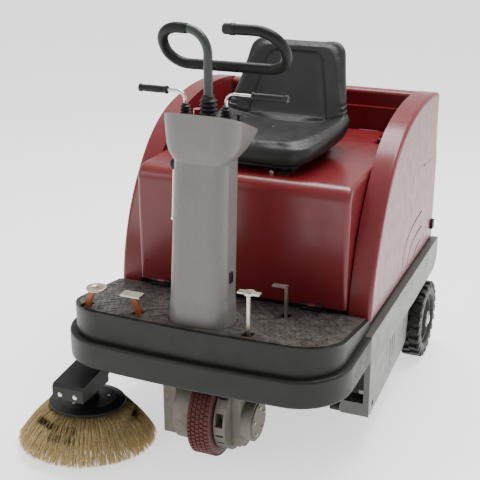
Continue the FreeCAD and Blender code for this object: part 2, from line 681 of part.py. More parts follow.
def main_broom_core():
    core = cyl_x(-352, 352, BROOM_Y, BROOM_R, 38.0)
    shaft = cyl_x(-384, 379, BROOM_Y, BROOM_R, 10.0)
    pulley = cyl_x(-396, -384, BROOM_Y, BROOM_R, PULLEY_LARGE)
    return core.fuse(shaft).fuse(pulley).removeSplitter()


def main_broom_bristles():
    return ring_x(-350, 350, BROOM_Y, BROOM_R, BROOM_R, 38.2, 4.0)


def motor_pulley():
    wheel = cyl_x(-396, -384, ARM_PIVOT_Y, ARM_PIVOT_Z, PULLEY_SMALL)
    return wheel.fuse(cyl_x(-384, -310, ARM_PIVOT_Y, ARM_PIVOT_Z, 6.5)).removeSplitter()


# ------------------------------------------------------------ controls

def lever_rod(x, x_end, z_end, bend):
    rod = tube([(x, LEVER_Y, LEVER_PIVOT_Z - 10), (x, LEVER_Y, z_end), (x_end, LEVER_Y, z_end)], [bend], 5.0)
    eye = cyl_x(x - 8, x + 8, LEVER_Y, LEVER_PIVOT_Z, 13.0)
    return rod.fuse(eye).removeSplitter()


def lever_right():
    return lever_rod(LEVER_RIGHT_X, -122.0, 1123.0, 22.0)


def grip_right():
    return cyl_x(-204, -118, LEVER_Y, 1123, 11.0).cut(cyl_x(-122.2, -110, LEVER_Y, 1123, 5.05))


def lever_left():
    return lever_rod(LEVER_LEFT_X, 134.0, 1126.0, 24.0)


def grip_left():
    return cyl_x(130, 231, LEVER_Y, 1126, 11.0).cut(cyl_x(120, 134.2, LEVER_Y, 1126, 5.05))


def pedal_arm(name, z_top, thick, wide, lean=0.0):
    # upright arm that leans sideways above the deck
    x, y = PEDALS[name]
    w = wide / 2
    pts = [(x - w, 418), (x + w, 418), (x + w, 494), (x + w + lean, z_top), (x - w + lean, z_top),
           (x - w, 494)]
    wire = Part.makePolygon([V(a, y - thick / 2, b) for a, b in pts + [pts[0]]])
    arm = Part.Face(wire).extrude(V(0, thick, 0))
    return arm.fuse(cyl_x(x - 12, x + 12, y, 418, 10.0))


def pedal_broom():
    x, y = PEDALS["pedal_broom"]
    arm = pedal_arm("pedal_broom", 540, 8, 20, 22)
    pad = cyl_z(x + 34, y - 6, 538, 543, 30.0).cut(cyl_z(x + 42, y - 12, 530, 550, 7.0))
    return arm.fuse(pad).removeSplitter()


def pedal_flap():
    x, y = PEDALS["pedal_flap"]
    arm = pedal_arm("pedal_flap", 540, 8, 20, -20)
    pad = box(x - 44, x + 16, y - 26, y + 8, 538, 542)
    return arm.fuse(pad).removeSplitter()


def pedal_drive():
    x, y = PEDALS["pedal_drive"]
    arm = pedal_arm("pedal_drive", 604, 9, 9)
    pad = box(x - 32, x + 32, y - 6, y + 14, 604, 609)
    pad = pad.fuse(cyl_z(x, y + 4, 603, 610, 17.0))
    return arm.fuse(pad).removeSplitter()


def pedal_brake():
    x, y = PEDALS["pedal_brake"]
    arm = pedal_arm("pedal_brake", 545, 9, 9)
    hook = box(x - 42, x + 4.5, y - 9, y + 9, 540, 545)
    return arm.fuse(hook).removeSplitter()


def brake_handle():
    boss = cyl_x(-112, -88, LEVER_Y, 915, 15.0)
    pin = cyl_x(-89, -74, LEVER_Y, 915, 6.5)
    arm = box(-109, -101, LEVER_Y - 7, LEVER_Y + 7, 770, 905)
    foot = box(-111, -98, LEVER_Y - 13, LEVER_Y + 13, 752, 771)
    return boss.fuse(pin).fuse(arm).fuse(foot).removeSplitter()


def stop_button():
    head = cyl_z(STOP_X, STOP_Y, 1056, 1071, 12.5)
    return head.fuse(cyl_z(STOP_X, STOP_Y, 1018, 1057, 6.0)).removeSplitter()


def ignition_key():
    body = cyl_z(KEY_X, 186, 1044, 1054, 11.0)
    stem = cyl_z(KEY_X, 186, 1012, 1045, 6.0)
    bow = box(KEY_X - 3.5, KEY_X + 3.5, 176, 196, 1053, 1074)
    return body.fuse(stem).fuse(bow).removeSplitter()


# ------------------------------------------------------------ hood, seat, rear

def hood():
    w = HOOD_HALF_W
    t = HOOD_TOP_Z
    outer = box(-w, w, BODY_FRONT_Y, 922, 448, t)
    outer = rounded(outer, 44.0, lambda e: e.BoundBox.XLength > 600 and e.BoundBox.ZMin > t - 1
                    and e.BoundBox.YMax < 500)
    outer = rounded(outer, 16.0, lambda e: e.BoundBox.XLength < 1 and e.BoundBox.YMin < 900
                    and e.BoundBox.ZMax > 460)
    inner = plate_yz([(BODY_FRONT_Y + 5, 400), (BODY_FRONT_Y + 5, t - 48), (BODY_FRONT_Y + 20, t - 20),
                      (BODY_FRONT_Y + 48, t - 5), (917, t - 5), (917, 400)], -w + 16, w - 16)
    side = plate_yz([(BODY_FRONT_Y + 18, 400), (BODY_FRONT_Y + 18, t - 60), (BODY_FRONT_Y + 60, t - 18),
                     (917, t - 18), (917, 400)], -w + 5, w - 5)
    shape = outer.cut(inner).cut(side)
    shape = shape.cut(box(-w - 1, w + 1, 905, 930, 400, t - 60))
    shape = shape.cut(box(-w - 1, w + 1, 470, 930, 400, 660))
    for x in (-265.0, 240.0):
        knuckle = cyl_x(x - 11.5, x + 11.5, HOOD_HINGE_Y, HOOD_HINGE_Z, 6.0)
        knuckle = knuckle.fuse(box(x - 11.5, x + 11.5, HOOD_HINGE_Y, BODY_FRONT_Y + 2, 449, 457.5))
        knuckle = knuckle.cut(cyl_x(x - 20, x + 20, HOOD_HINGE_Y, HOOD_HINGE_Z, 2.56))
        shape = shape.fuse(knuckle)
    return shape.removeSplitter()


def seat_rails():
    shape = box(-110, 110, 530, 570, HOOD_TOP_Z, 831)
    shape = shape.fuse(box(-110, 110, 750, 790, HOOD_TOP_Z, 831))
    for x in (-128.0, 92.0):
        shape = shape.fuse(box(x, x + 36, 475, 845, HOOD_TOP_Z, 831))
    return shape.removeSplitter()


def seat_base():
    shape = box(-150, 150, 484, 836, 841.5, 852)
    for x in (-120.0, 100.0):
        shape = shape.fuse(box(x, x + 20, 495, 825, 831.3, 843))
        # steel straps that carry the backrest
        strap = [(800, 841.5), (868, 841.5), (874, 905), (893, 958), (881.2, 960.5),
                 (861.8, 907.5), (858, 851.8), (800, 851.8)]
        shape = shape.fuse(plate_yz(strap, x, x + 20))
    return shape.removeSplitter()


def seat_cushion():
    pts = [V(-168, 452, 852.3), V(168, 452, 852.3), V(218, 560, 852.3), V(236, 700, 852.3),
           V(226, 850, 852.3), V(-226, 850, 852.3), V(-236, 700, 852.3), V(-218, 560, 852.3)]
    shape = Part.Face(Part.makePolygon(pts + [pts[0]])).extrude(V(0, 0, 54))
    shape = rounded(shape, 38.0, lambda e: e.BoundBox.ZLength > 50)
    return rounded(shape, 20.0, lambda e: e.BoundBox.ZMin > 906)


def seat_backrest():
    pts = [V(-228, 0, 0), V(228, 0, 0), V(214, 0, 80), V(172, 0, 205), V(140, 0, 254),
           V(-140, 0, 254), V(-172, 0, 205), V(-214, 0, 80)]
    shape = Part.Face(Part.makePolygon(pts + [pts[0]])).extrude(V(0, 46, 0))
    shape = rounded(shape, 16.0, lambda e: e.BoundBox.YLength < 0.01)
    shape.rotate(V(0, 0, 0), V(1, 0, 0), -20)
    shape.translate(V(0, 818, 922.5))
    return shape


def filter_lid():
    lid = box(-255, 255, 936, 1138, 798.3, 812)
    lid = rounded(lid, 6.0, lambda e: e.BoundBox.ZMin > 811)
    handle = box(-60, 60, 950, 962, 811, 828).cut(box(-46, 46, 949, 963, 811, 821))
    lid = lid.fuse(handle)
    # hinge barrels along the rear edge
    for x in (-190.0, 190.0):
        lid = lid.fuse(cyl_x(x - 35, x + 35, LID_HINGE_Y, LID_HINGE_Z, 5.5))
        lid = lid.fuse(box(x - 35, x + 35, 1130, LID_HINGE_Y, 801.5, 807))
    return lid.removeSplitter()


def hopper():
    bin_out = plate_yz([(932, 150), (932, 640), (1205, 640), (1205, 205), (1150, 150)], -338, 338)
    bin_in = plate_yz([(920, 155), (920, 634), (1199, 634), (1199, 208), (1147, 155)], -333, 333)
    shape = bin_out.cut(bin_in)
    shape = shape.fuse(box(-338, 338, 932, 938, 320, 640))
    door = box(-344, 344, 1205, 1222, 230, 672)
    door = rounded(door, 8.0, lambda e: e.BoundBox.YMin > 1221)
    handle = box(-110, 110, 1222, 1246, 560, 578).cut(box(-92, 92, 1221, 1238, 555, 583))
    return shape.fuse(door).fuse(handle).removeSplitter()


def make_all():
    return {
        "chassis_frame": chassis_frame(),
        "front_bumper": front_bumper(),
        "deck_platform": deck_platform(),
        "deck_mat": deck_mat(),
        "side_skirt_left": side_skirt(),
        "side_skirt_right": mirror_x(side_skirt()),
        "side_cover_left": side_cover(),
        "side_cover_right": mirror_x(side_cover()),
        "rear_cover": rear_cover(),
        "steering_column": steering_column(),
        "dash_panel": dash_panel(),
        "steering_boot": steering_boot(),
        "lever_boot_left": lever_boot(LEVER_LEFT_X),
        "lever_boot_right": lever_boot(LEVER_RIGHT_X),
        "column_socket": column_socket(),
        "battery_tray": battery_tray(),
        "batteries": batteries(),
        "broom_chamber": broom_chamber(),
        "dust_flaps": dust_flaps(),
        "vacuum_fan": vacuum_fan(),
        "panel_filter": panel_filter(),
        "broom_motor": broom_motor(),
        "hood_hinges": hood_hinges(),
        "steering_bar": steering_bar(),
        "bar_cap": bar_cap(),
        "drive_fork": drive_fork(),
        "gear_case": gear_case(),
        "front_tyre": front_tyre(),
        "front_hub": front_hub(),
        "rear_tyre_left": rear_tyre(),
        "rear_rim_left": rear_rim(),
        "rear_tyre_right": mirror_x(rear_tyre()),
        "rear_rim_right": mirror_x(rear_rim()),
        "side_arm": side_arm(),
        "side_broom_motor": side_broom_motor(),
        "side_broom_disc": side_broom_disc(),
        "side_broom_bristles": side_broom_bristles(),
        "main_broom_arms": main_broom_arms(),
        "drive_belt": drive_belt(),
        "main_broom_core": main_broom_core(),
        "main_broom_bristles": main_broom_bristles(),
        "motor_pulley": motor_pulley(),
        "lever_left": lever_left(),
        "grip_left": grip_left(),
        "lever_right": lever_right(),
        "grip_right": grip_right(),
        "pedal_broom": pedal_broom(),
        "pedal_flap": pedal_flap(),
        "pedal_drive": pedal_drive(),
        "pedal_brake": pedal_brake(),
        "brake_handle": brake_handle(),
        "stop_button": stop_button(),
        "ignition_key": ignition_key(),
        "hood": hood(),
        "seat_rails": seat_rails(),
        "seat_base": seat_base(),
        "seat_cushion": seat_cushion(),
        "seat_backrest": seat_backrest(),
        "filter_lid": filter_lid(),
        "hopper": hopper(),
    }


low = V(1e9, 1e9, 1e9)
high = V(-1e9, -1e9, -1e9)
for name, shape in make_all().items():
    shape.translate(V(-ORIGIN_X, -ORIGIN_Y, 0))
    b = shape.BoundBox
    low = V(min(low.x, b.XMin), min(low.y, b.YMin), min(low.z, b.ZMin))
    high = V(max(high.x, b.XMax), max(high.y, b.YMax), max(high.z, b.ZMax))
    print(name, len(shape.Solids), shape.isValid(), round(shape.Volume / 1e3, 1))
    shape.exportStep("parts/" + name + ".step")
print("bounds", low, high, "centre", (low.x + high.x) / 2, (low.y + high.y) / 2)
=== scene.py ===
import math
import random

import bmesh
import bpy
import numpy as np
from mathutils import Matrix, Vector


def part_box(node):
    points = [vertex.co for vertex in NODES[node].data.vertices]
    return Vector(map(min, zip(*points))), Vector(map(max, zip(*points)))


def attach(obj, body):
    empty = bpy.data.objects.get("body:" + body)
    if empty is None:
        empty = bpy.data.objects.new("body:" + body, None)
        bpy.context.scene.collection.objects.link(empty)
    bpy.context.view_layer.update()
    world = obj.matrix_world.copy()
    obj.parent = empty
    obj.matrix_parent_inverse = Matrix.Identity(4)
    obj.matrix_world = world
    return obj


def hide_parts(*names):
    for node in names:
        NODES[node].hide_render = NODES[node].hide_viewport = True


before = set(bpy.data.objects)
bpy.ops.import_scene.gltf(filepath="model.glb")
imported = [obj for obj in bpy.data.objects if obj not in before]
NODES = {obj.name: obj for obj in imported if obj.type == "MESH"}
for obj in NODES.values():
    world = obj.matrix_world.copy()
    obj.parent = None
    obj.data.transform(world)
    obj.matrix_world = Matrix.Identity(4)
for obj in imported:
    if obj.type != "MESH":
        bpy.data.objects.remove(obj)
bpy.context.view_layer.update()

RNG = random.Random(7)

# The CAD is drawn round the machine's own centre line; the row origin is offset from it.
CENTRE_X = sum(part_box("front_bumper")[i][0] for i in (0, 1)) / 2
FRONT_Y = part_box("front_bumper")[0][1]


def at(x, y, z):
    """A point given in millimetres from the centre line, the bumper's front and the floor."""
    return Vector((CENTRE_X + x / 1000.0, FRONT_Y + y / 1000.0, z / 1000.0))


# ---------- materials

# Noise scales, in features per metre, from broad drifts of colour down to specks.
DRIFT, CLOUD, SMEAR, RUBBED, SPECK = 6.0, 14.0, 22.0, 38.0, 140.0
DUST_COLOUR = (0.32, 0.29, 0.25)
GRIME_COLOUR = (0.035, 0.03, 0.026)
STAIN_COLOUR = (0.12, 0.09, 0.06)
STREAK = (1, 1, 60)


def new_material(name):
    mat = bpy.data.materials.new(name)
    mat.use_nodes = True
    nt = mat.node_tree
    return mat, nt, nt.nodes["Principled BSDF"]


def add(nt, kind, **values):
    node = nt.nodes.new(kind)
    for key, value in values.items():
        setattr(node, key, value)
    return node


def noise(nt, coord, scale, detail=4.0, rough=0.6, stretch=None):
    """A noise value; stretch scales the pattern along each axis."""
    node = add(nt, "ShaderNodeTexNoise")
    node.inputs["Scale"].default_value = scale
    node.inputs["Detail"].default_value = detail
    node.inputs["Roughness"].default_value = rough
    source = coord
    if stretch:
        mapping = add(nt, "ShaderNodeMapping")
        mapping.inputs["Scale"].default_value = stretch
        nt.links.new(coord, mapping.inputs["Vector"])
        source = mapping.outputs["Vector"]
    nt.links.new(source, node.inputs["Vector"])
    return node.outputs["Fac"]


def ramp(nt, fac, stops):
    """Turns a value into a colour by (position, colour) stops."""
    node = add(nt, "ShaderNodeValToRGB")
    ramp_data = node.color_ramp
    while len(ramp_data.elements) < len(stops):
        ramp_data.elements.new(0.5)
    for element, (pos, colour) in zip(ramp_data.elements, stops):
        element.position = pos
        element.color = (*colour, 1.0) if len(colour) == 3 else colour
    nt.links.new(fac, node.inputs["Fac"])
    return node.outputs["Color"]


def grey_ramp(nt, fac, p0, v0, p1, v1):
    """A value that runs from v0 at p0 to v1 at p1."""
    return ramp(nt, fac, [(p0, (v0, v0, v0)), (p1, (v1, v1, v1))])


def mix(nt, fac, a, b, mode="MIX"):
    """Mixes two colours: inputs 6 and 7 and output 2 are the node's colour sockets."""
    node = add(nt, "ShaderNodeMix", data_type="RGBA", blend_type=mode)
    if isinstance(fac, float):
        node.inputs[0].default_value = fac
    else:
        nt.links.new(fac, node.inputs[0])
    for value, socket in ((a, node.inputs[6]), (b, node.inputs[7])):
        if isinstance(value, tuple):
            socket.default_value = (*value, 1.0)
        else:
            nt.links.new(value, socket)
    return node.outputs[2]


def bump(nt, bsdf, height, strength, distance, chain=None):
    node = add(nt, "ShaderNodeBump")
    node.inputs["Strength"].default_value = strength
    node.inputs["Distance"].default_value = distance
    nt.links.new(height, node.inputs["Height"])
    if chain:
        nt.links.new(chain, node.inputs["Normal"])
    nt.links.new(node.outputs["Normal"], bsdf.inputs["Normal"])
    return node.outputs["Normal"]


def coord_of(nt):
    return add(nt, "ShaderNodeTexCoord").outputs["Object"]


def shade(colour, k):
    """The colour made k times as bright."""
    return tuple(max(0.0, min(1.0, c * k)) for c in colour)


def moulded(name, colour, rough=0.45, grain=900.0, grain_depth=0.00018, vary=0.12, wear=None, coat=0.0,
            metallic=0.0, spec=0.5, dust=0.0):
    """Moulded or painted surface: broad colour variation, fine grain, rubbed edges and a little dust."""
    mat, nt, bsdf = new_material(name)
    coord = coord_of(nt)
    broad = noise(nt, coord, DRIFT, 5.0, 0.55)
    base = ramp(nt, broad, [(0.3, shade(colour, 1.0 - vary)), (0.7, shade(colour, 1.0 + vary))])
    fine = noise(nt, coord, SPECK, 3.0, 0.6)
    speck = grey_ramp(nt, fine, 0.35, 0.94, 0.65, 1.05)
    base = mix(nt, 1.0, base, speck, "MULTIPLY")
    geometry = add(nt, "ShaderNodeNewGeometry")
    if wear:
        edge = grey_ramp(nt, geometry.outputs["Pointiness"], 0.515, 0.0, 0.58, 1.0)
        patch = grey_ramp(nt, noise(nt, coord, RUBBED, 6.0, 0.7), 0.42, 0.0, 0.62, 1.0)
        both = mix(nt, 1.0, edge, patch, "MULTIPLY")
        base = mix(nt, both, base, wear)
    if dust:
        up = add(nt, "ShaderNodeSeparateXYZ")
        nt.links.new(geometry.outputs["Normal"], up.inputs[0])
        top = grey_ramp(nt, up.outputs["Z"], 0.55, 0.0, 1.0, dust)
        cloud = grey_ramp(nt, noise(nt, coord, CLOUD, 6.0, 0.65), 0.4, 0.2, 0.7, 1.0)
        base = mix(nt, mix(nt, 1.0, top, cloud, "MULTIPLY"), base, DUST_COLOUR)
    nt.links.new(base, bsdf.inputs["Base Color"])
    smear = noise(nt, coord, SMEAR, 5.0, 0.6)
    nt.links.new(grey_ramp(nt, smear, 0.3, max(0.05, rough - 0.07), 0.75, min(1.0, rough + 0.1)),
                 bsdf.inputs["Roughness"])
    bsdf.inputs["Metallic"].default_value = metallic
    bsdf.inputs["Specular IOR Level"].default_value = spec
    if coat:
        bsdf.inputs["Coat Weight"].default_value = coat
        bsdf.inputs["Coat Roughness"].default_value = 0.18
    bump(nt, bsdf, noise(nt, coord, grain, 2.0, 0.5), 0.5, grain_depth)
    return mat


def metal(name, colour, rough=0.3, stain_amount=0.35):
    """Bare or plated metal with drawn streaks and slight staining."""
    mat, nt, bsdf = new_material(name)
    coord = coord_of(nt)
    lines = noise(nt, coord, 60.0, 3.0, 0.6, STREAK)
    base = ramp(nt, lines, [(0.3, shade(colour, 0.86)), (0.7, shade(colour, 1.1))])
    spots = grey_ramp(nt, noise(nt, coord, 45.0, 6.0, 0.7), 0.52, 0.0, 0.78, stain_amount)
    nt.links.new(mix(nt, spots, base, STAIN_COLOUR), bsdf.inputs["Base Color"])
    nt.links.new(grey_ramp(nt, lines, 0.3, max(0.04, rough - 0.08), 0.7, rough + 0.1),
                 bsdf.inputs["Roughness"])
    bsdf.inputs["Metallic"].default_value = 1.0
    bump(nt, bsdf, lines, 0.3, 0.00008)
    return mat


def cast(name, colour, rough=0.6, metallic=0.55):
    """Rough cast metal with pits and grime."""
    mat, nt, bsdf = new_material(name)
    coord = coord_of(nt)
    broad = noise(nt, coord, 18.0, 6.0, 0.7)
    base = ramp(nt, broad, [(0.3, shade(colour, 0.62)), (0.5, colour), (0.75, shade(colour, 1.25))])
    grime = grey_ramp(nt, noise(nt, coord, 8.0, 5.0, 0.7), 0.5, 0.0, 0.75, 0.7)
    nt.links.new(mix(nt, grime, base, GRIME_COLOUR), bsdf.inputs["Base Color"])
    nt.links.new(grey_ramp(nt, broad, 0.3, rough - 0.12, 0.7, rough + 0.15), bsdf.inputs["Roughness"])
    bsdf.inputs["Metallic"].default_value = metallic
    pits = noise(nt, coord, 420.0, 4.0, 0.7)
    first = bump(nt, bsdf, pits, 0.6, 0.0005)
    bump(nt, bsdf, noise(nt, coord, 60.0, 3.0, 0.6), 0.35, 0.0012, first)
    return mat


def vinyl(name, colour):
    """Leather-grain vinyl: pebbled cells over soft undulation, with painted shade in the grooves between the
    cells.
    """
    mat, nt, bsdf = new_material(name)
    coord = coord_of(nt)
    broad = noise(nt, coord, 9.0, 4.0, 0.6)
    base = ramp(nt, broad, [(0.3, shade(colour, 0.85)), (0.7, shade(colour, 1.2))])
    cells = add(nt, "ShaderNodeTexVoronoi", feature="DISTANCE_TO_EDGE")
    cells.inputs["Scale"].default_value = 420.0
    warp = mix(nt, 0.012, coord, add_color(nt, coord, 30.0))
    nt.links.new(warp, cells.inputs["Vector"])
    groove = grey_ramp(nt, cells.outputs["Distance"], 0.0, 0.0, 0.14, 1.0)
    # Painted shade: darkens the grooves between the cells, the grain's hollows.
    groove_shade = grey_ramp(nt, cells.outputs["Distance"], 0.0, 0.8, 0.12, 1.0)
    nt.links.new(mix(nt, 1.0, base, groove_shade, "MULTIPLY"), bsdf.inputs["Base Color"])
    sheen = noise(nt, coord, 24.0, 5.0, 0.6)
    nt.links.new(grey_ramp(nt, sheen, 0.3, 0.36, 0.7, 0.52), bsdf.inputs["Roughness"])
    bsdf.inputs["Specular IOR Level"].default_value = 0.3
    bump(nt, bsdf, groove, 0.35, 0.00025)
    return mat


def add_color(nt, coord, scale):
    node = add(nt, "ShaderNodeTexNoise")
    node.inputs["Scale"].default_value = scale
    nt.links.new(coord, node.inputs["Vector"])
    return node.outputs["Color"]


def bristle_material(name, root, tip, low_z, high_z):
    """Bristle colour that darkens from the tips at low_z to the roots at high_z: painted shade towards the
    roots under the disc.
    """
    mat, nt, bsdf = new_material(name)
    coord = coord_of(nt)
    split = add(nt, "ShaderNodeSeparateXYZ")
    nt.links.new(coord, split.inputs[0])
    span = add(nt, "ShaderNodeMapRange")
    span.inputs["From Min"].default_value = low_z
    span.inputs["From Max"].default_value = high_z
    nt.links.new(split.outputs["Z"], span.inputs["Value"])
    # Painted shade: the ramp darkens the bristles towards their roots, where the disc covers them.
    root_shade_ramp = ramp(nt, span.outputs["Result"],
                 [(0.0, tip), (0.35, shade(root, 1.15)), (1.0, shade(root, 0.62))])
    strand = noise(nt, coord, 260.0, 4.0, 0.7, (1, 1, 0.15))
    tone = grey_ramp(nt, strand, 0.32, 0.55, 0.68, 1.3)
    base = mix(nt, 1.0, root_shade_ramp, tone, "MULTIPLY")
    nt.links.new(base, bsdf.inputs["Base Color"])
    nt.links.new(grey_ramp(nt, strand, 0.3, 0.55, 0.7, 0.78), bsdf.inputs["Roughness"])
    bsdf.inputs["Specular IOR Level"].default_value = 0.35
    return mat


RED = (0.128, 0.0072, 0.0100)
M = {
    "red": moulded("red_body", RED, 0.34, 700.0, 0.00010, 0.05, coat=0.25, spec=0.35),
    "black": moulded("deck_black", (0.0105, 0.0115, 0.0098), 0.44, 1100.0, 0.00018, 0.08, spec=0.24),
    # The side skirts are one material with the bumper; this lighter grey copy paints the strong light on the
    # machine's sides.
    "skirt": moulded("skirt_grey", (0.075, 0.076, 0.069), 0.4, 1100.0, 0.00018, 0.08, coat=0.1, spec=0.4),
    "column": moulded("column_grey", (0.128, 0.122, 0.112), 0.38, 800.0, 0.00012, 0.04, spec=0.45),
    "dash": moulded("dash_black", (0.009, 0.009, 0.0095), 0.48, 900.0, 0.0002, 0.15, spec=0.25),
    "rubber": moulded("soft_rubber", (0.0062, 0.0062, 0.0066), 0.42, 500.0, 0.0002, 0.2, dust=0.05, spec=0.28),
    "frame": moulded("frame_paint", (0.009, 0.009, 0.0095), 0.42, 500.0, 0.0001, 0.2, dust=0.15, spec=0.25),
    "cast": cast("cast_grey", (0.165, 0.152, 0.128)),
    "rim": moulded("rim_paint", (0.05, 0.05, 0.049), 0.42, 600.0, 0.0001, 0.12),
    "bar": moulded("bar_paint", (0.024, 0.030, 0.026), 0.32, 500.0, 0.00008, 0.08, spec=0.4),
    "chrome": metal("plated_rod", (0.62, 0.60, 0.55), 0.2),
    "steel": metal("plated_steel", (0.46, 0.43, 0.36), 0.36, stain_amount=0.5),
    "alu": metal("cast_aluminium", (0.36, 0.36, 0.35), 0.42),
    "orange": moulded("orange_paint", (0.26, 0.072, 0.016), 0.42, 500.0, 0.0001, 0.25),
    "stop": moulded("stop_red", (0.36, 0.008, 0.008), 0.25, 900.0, 0.00005, 0.1, coat=0.5),
    "battery": moulded("battery_case", (0.014, 0.014, 0.018), 0.4, 900.0, 0.0001, 0.15, dust=0.3),
    "paper": moulded("filter_paper", (0.36, 0.31, 0.20), 0.85, 400.0, 0.0003, 0.15),
    "belt": moulded("belt_rubber", (0.010, 0.010, 0.010), 0.55, 600.0, 0.0003, 0.2, dust=0.3),
    "vinyl": vinyl("seat_vinyl", (0.0098, 0.0108, 0.0098)),
    "tyre_red": moulded("tyre_red", (0.062, 0.0085, 0.006), 0.52, 500.0, 0.0003, 0.25, spec=0.3),
    # A darker copy of the tyre red for the carcass between the tread blocks: painted shade in the grooves.
    "tyre_red_shaded": moulded("tyre_red_groove_shade", (0.05, 0.008, 0.006), 0.6, 500.0, 0.0003, 0.25),
    "tyre_black": moulded("tyre_black", (0.0115, 0.0115, 0.011), 0.52, 500.0, 0.0003, 0.2, dust=0.2, spec=0.3),
    "mat": moulded("tread_mat", (0.026, 0.0225, 0.020), 0.42, 380.0, 0.0004, 0.25, wear=(0.07, 0.063, 0.054),
                   spec=0.35),
    "foam": moulded("bar_sleeve_vinyl", (0.006, 0.0065, 0.0058), 0.44, 700.0, 0.0002, 0.12, spec=0.2),
}
low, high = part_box("side_broom_bristles")
M["tan"] = bristle_material("bristle_tan", (0.46, 0.335, 0.15), (0.60, 0.46, 0.235), low.z, high.z)
# A darker copy of the bristle colour: painted shade for the core deep inside the tufts.
M["tan_dark"] = bristle_material("bristle_tan_inner_shade", (0.28, 0.195, 0.085), (0.40, 0.29, 0.14),
                                 low.z, high.z)
M["dark_bristle"] = moulded("bristle_dark", (0.018, 0.018, 0.02), 0.6, 300.0, 0.0003, 0.3)

CAD_LOOK = {
    "chassis_frame": "frame", "front_bumper": "black", "deck_platform": "black", "deck_mat": "mat",
    # The side skirts take the lighter grey copy, painted light, not a grey of their own.
    "side_skirt_left": "skirt", "side_skirt_right": "skirt", "side_cover_left": "red",
    "side_cover_right": "red", "rear_cover": "red",
    "steering_column": "column", "dash_panel": "dash", "steering_boot": "rubber",
    "lever_boot_left": "rubber", "lever_boot_right": "rubber", "column_socket": "dash", "battery_tray": "frame",
    "batteries": "battery", "broom_chamber": "frame", "dust_flaps": "rubber", "vacuum_fan": "dash",
    "panel_filter": "paper", "broom_motor": "frame", "hood_hinges": "frame", "steering_bar": "bar",
    "bar_cap": "dash", "drive_fork": "cast", "gear_case": "cast", "front_tyre": "tyre_red", "front_hub": "cast",
    "rear_tyre_left": "tyre_black", "rear_rim_left": "rim", "rear_tyre_right": "tyre_black",
    "rear_rim_right": "rim", "side_arm": "black", "side_broom_motor": "dash", "side_broom_disc": "dash",
    "side_broom_bristles": "tan", "main_broom_arms": "frame", "drive_belt": "belt", "main_broom_core": "alu",
    "main_broom_bristles": "dark_bristle", "motor_pulley": "alu", "lever_left": "chrome", "grip_left": "rubber",
    "lever_right": "chrome", "grip_right": "rubber", "pedal_broom": "orange", "pedal_flap": "orange",
    "pedal_drive": "steel", "pedal_brake": "steel", "brake_handle": "dash", "stop_button": "stop",
    "ignition_key": "dash", "hood": "red", "seat_rails": "frame", "seat_base": "frame",
    "seat_cushion": "vinyl", "seat_backrest": "vinyl", "filter_lid": "red", "hopper": "black",
}


def dress(obj, mat):
    obj.data.materials.clear()
    obj.data.materials.append(mat)


for node_name, look in CAD_LOOK.items():
    dress(NODES[node_name], M[look])


# ---------- mesh helpers

def mesh_object(name, verts, faces, mat, smooth=True):
    mesh = bpy.data.meshes.new(name)
    mesh.from_pydata([tuple(v) for v in verts], [], faces)
    mesh.validate()
    mesh.update()
    bm = bmesh.new()
    bm.from_mesh(mesh)
    bmesh.ops.recalc_face_normals(bm, faces=bm.faces)
    bm.to_mesh(mesh)
    bm.free()
    obj = bpy.data.objects.new(name, mesh)
    bpy.context.scene.collection.objects.link(obj)
    for poly in mesh.polygons:
        poly.use_smooth = smooth
    mesh.materials.append(mat)
    return obj


def piece(obj, body, replaces=()):
    """Parents a mesh to its body's empty and hides the CAD nodes it stands for."""
    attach(obj, body)
    if replaces:
        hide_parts(*replaces)
    return obj


class Builder:
    """Collects vertices and faces of many small parts that share one mesh."""

    def __init__(self):
        self.verts = []
        self.faces = []

    def ring(self, points):
        base = len(self.verts)
        self.verts.extend(points)
        return list(range(base, base + len(points)))

    def bridge(self, a, b):
        n = len(a)
        for k in range(n):
            self.faces.append((a[k], a[(k + 1) % n], b[(k + 1) % n], b[k]))

    def cap(self, a):
        self.faces.append(tuple(a))

    def sweep(self, sections):
        """Skins a row of sections with equal point counts and closes both ends."""
        rings = [self.ring(points) for points in sections]
        self.cap(list(reversed(rings[0])))
        for p, q in zip(rings[:-1], rings[1:]):
            self.bridge(p, q)
        self.cap(rings[-1])

    def block(self, corners):
        """Eight corners: four below, four above, in the same order."""
        a = self.ring(corners[:4])
        b = self.ring(corners[4:])
        self.bridge(a, b)
        self.cap(list(reversed(a)))
        self.cap(b)

    def make(self, name, mat, smooth=True):
        return mesh_object(name, self.verts, self.faces, mat, smooth)


def circle(centre, u, v, radius, sides):
    """Points round a circle in the plane of u and v."""
    angles = [2 * math.pi * k / sides for k in range(sides)]
    return [centre + (u * math.cos(a) + v * math.sin(a)) * radius for a in angles]


def plane_of(axis):
    """The axis as a unit vector, with two unit vectors at right angles to it."""
    axis = Vector(axis).normalized()
    u = axis.orthogonal().normalized()
    return axis, u, axis.cross(u)


def lathe(name, profile, centre, axis, mat, steps=64, closed=True):
    """Turns (radius, height) pairs round an axis through centre; closed joins the last pair to the first."""
    axis, u, v = plane_of(axis)
    b = Builder()
    rings = [b.ring(circle(centre + axis * h, u, v, max(r, 1e-5), steps)) for r, h in profile]
    for p, q in zip(rings[:-1], rings[1:]):
        b.bridge(p, q)
    if closed:
        b.bridge(rings[-1], rings[0])
    else:
        b.cap(rings[0])
        b.cap(list(reversed(rings[-1])))
    return b.make(name, mat)


def subdivide(obj, levels=1):
    mod = obj.modifiers.new("sub", "SUBSURF")
    mod.levels = levels
    mod.render_levels = levels
    apply_all(obj)


def bevel(obj, width, segments=2, angle=40):
    mod = obj.modifiers.new("bev", "BEVEL")
    mod.width = width
    mod.segments = segments
    mod.limit_method = "ANGLE"
    mod.angle_limit = math.radians(angle)
    apply_all(obj)


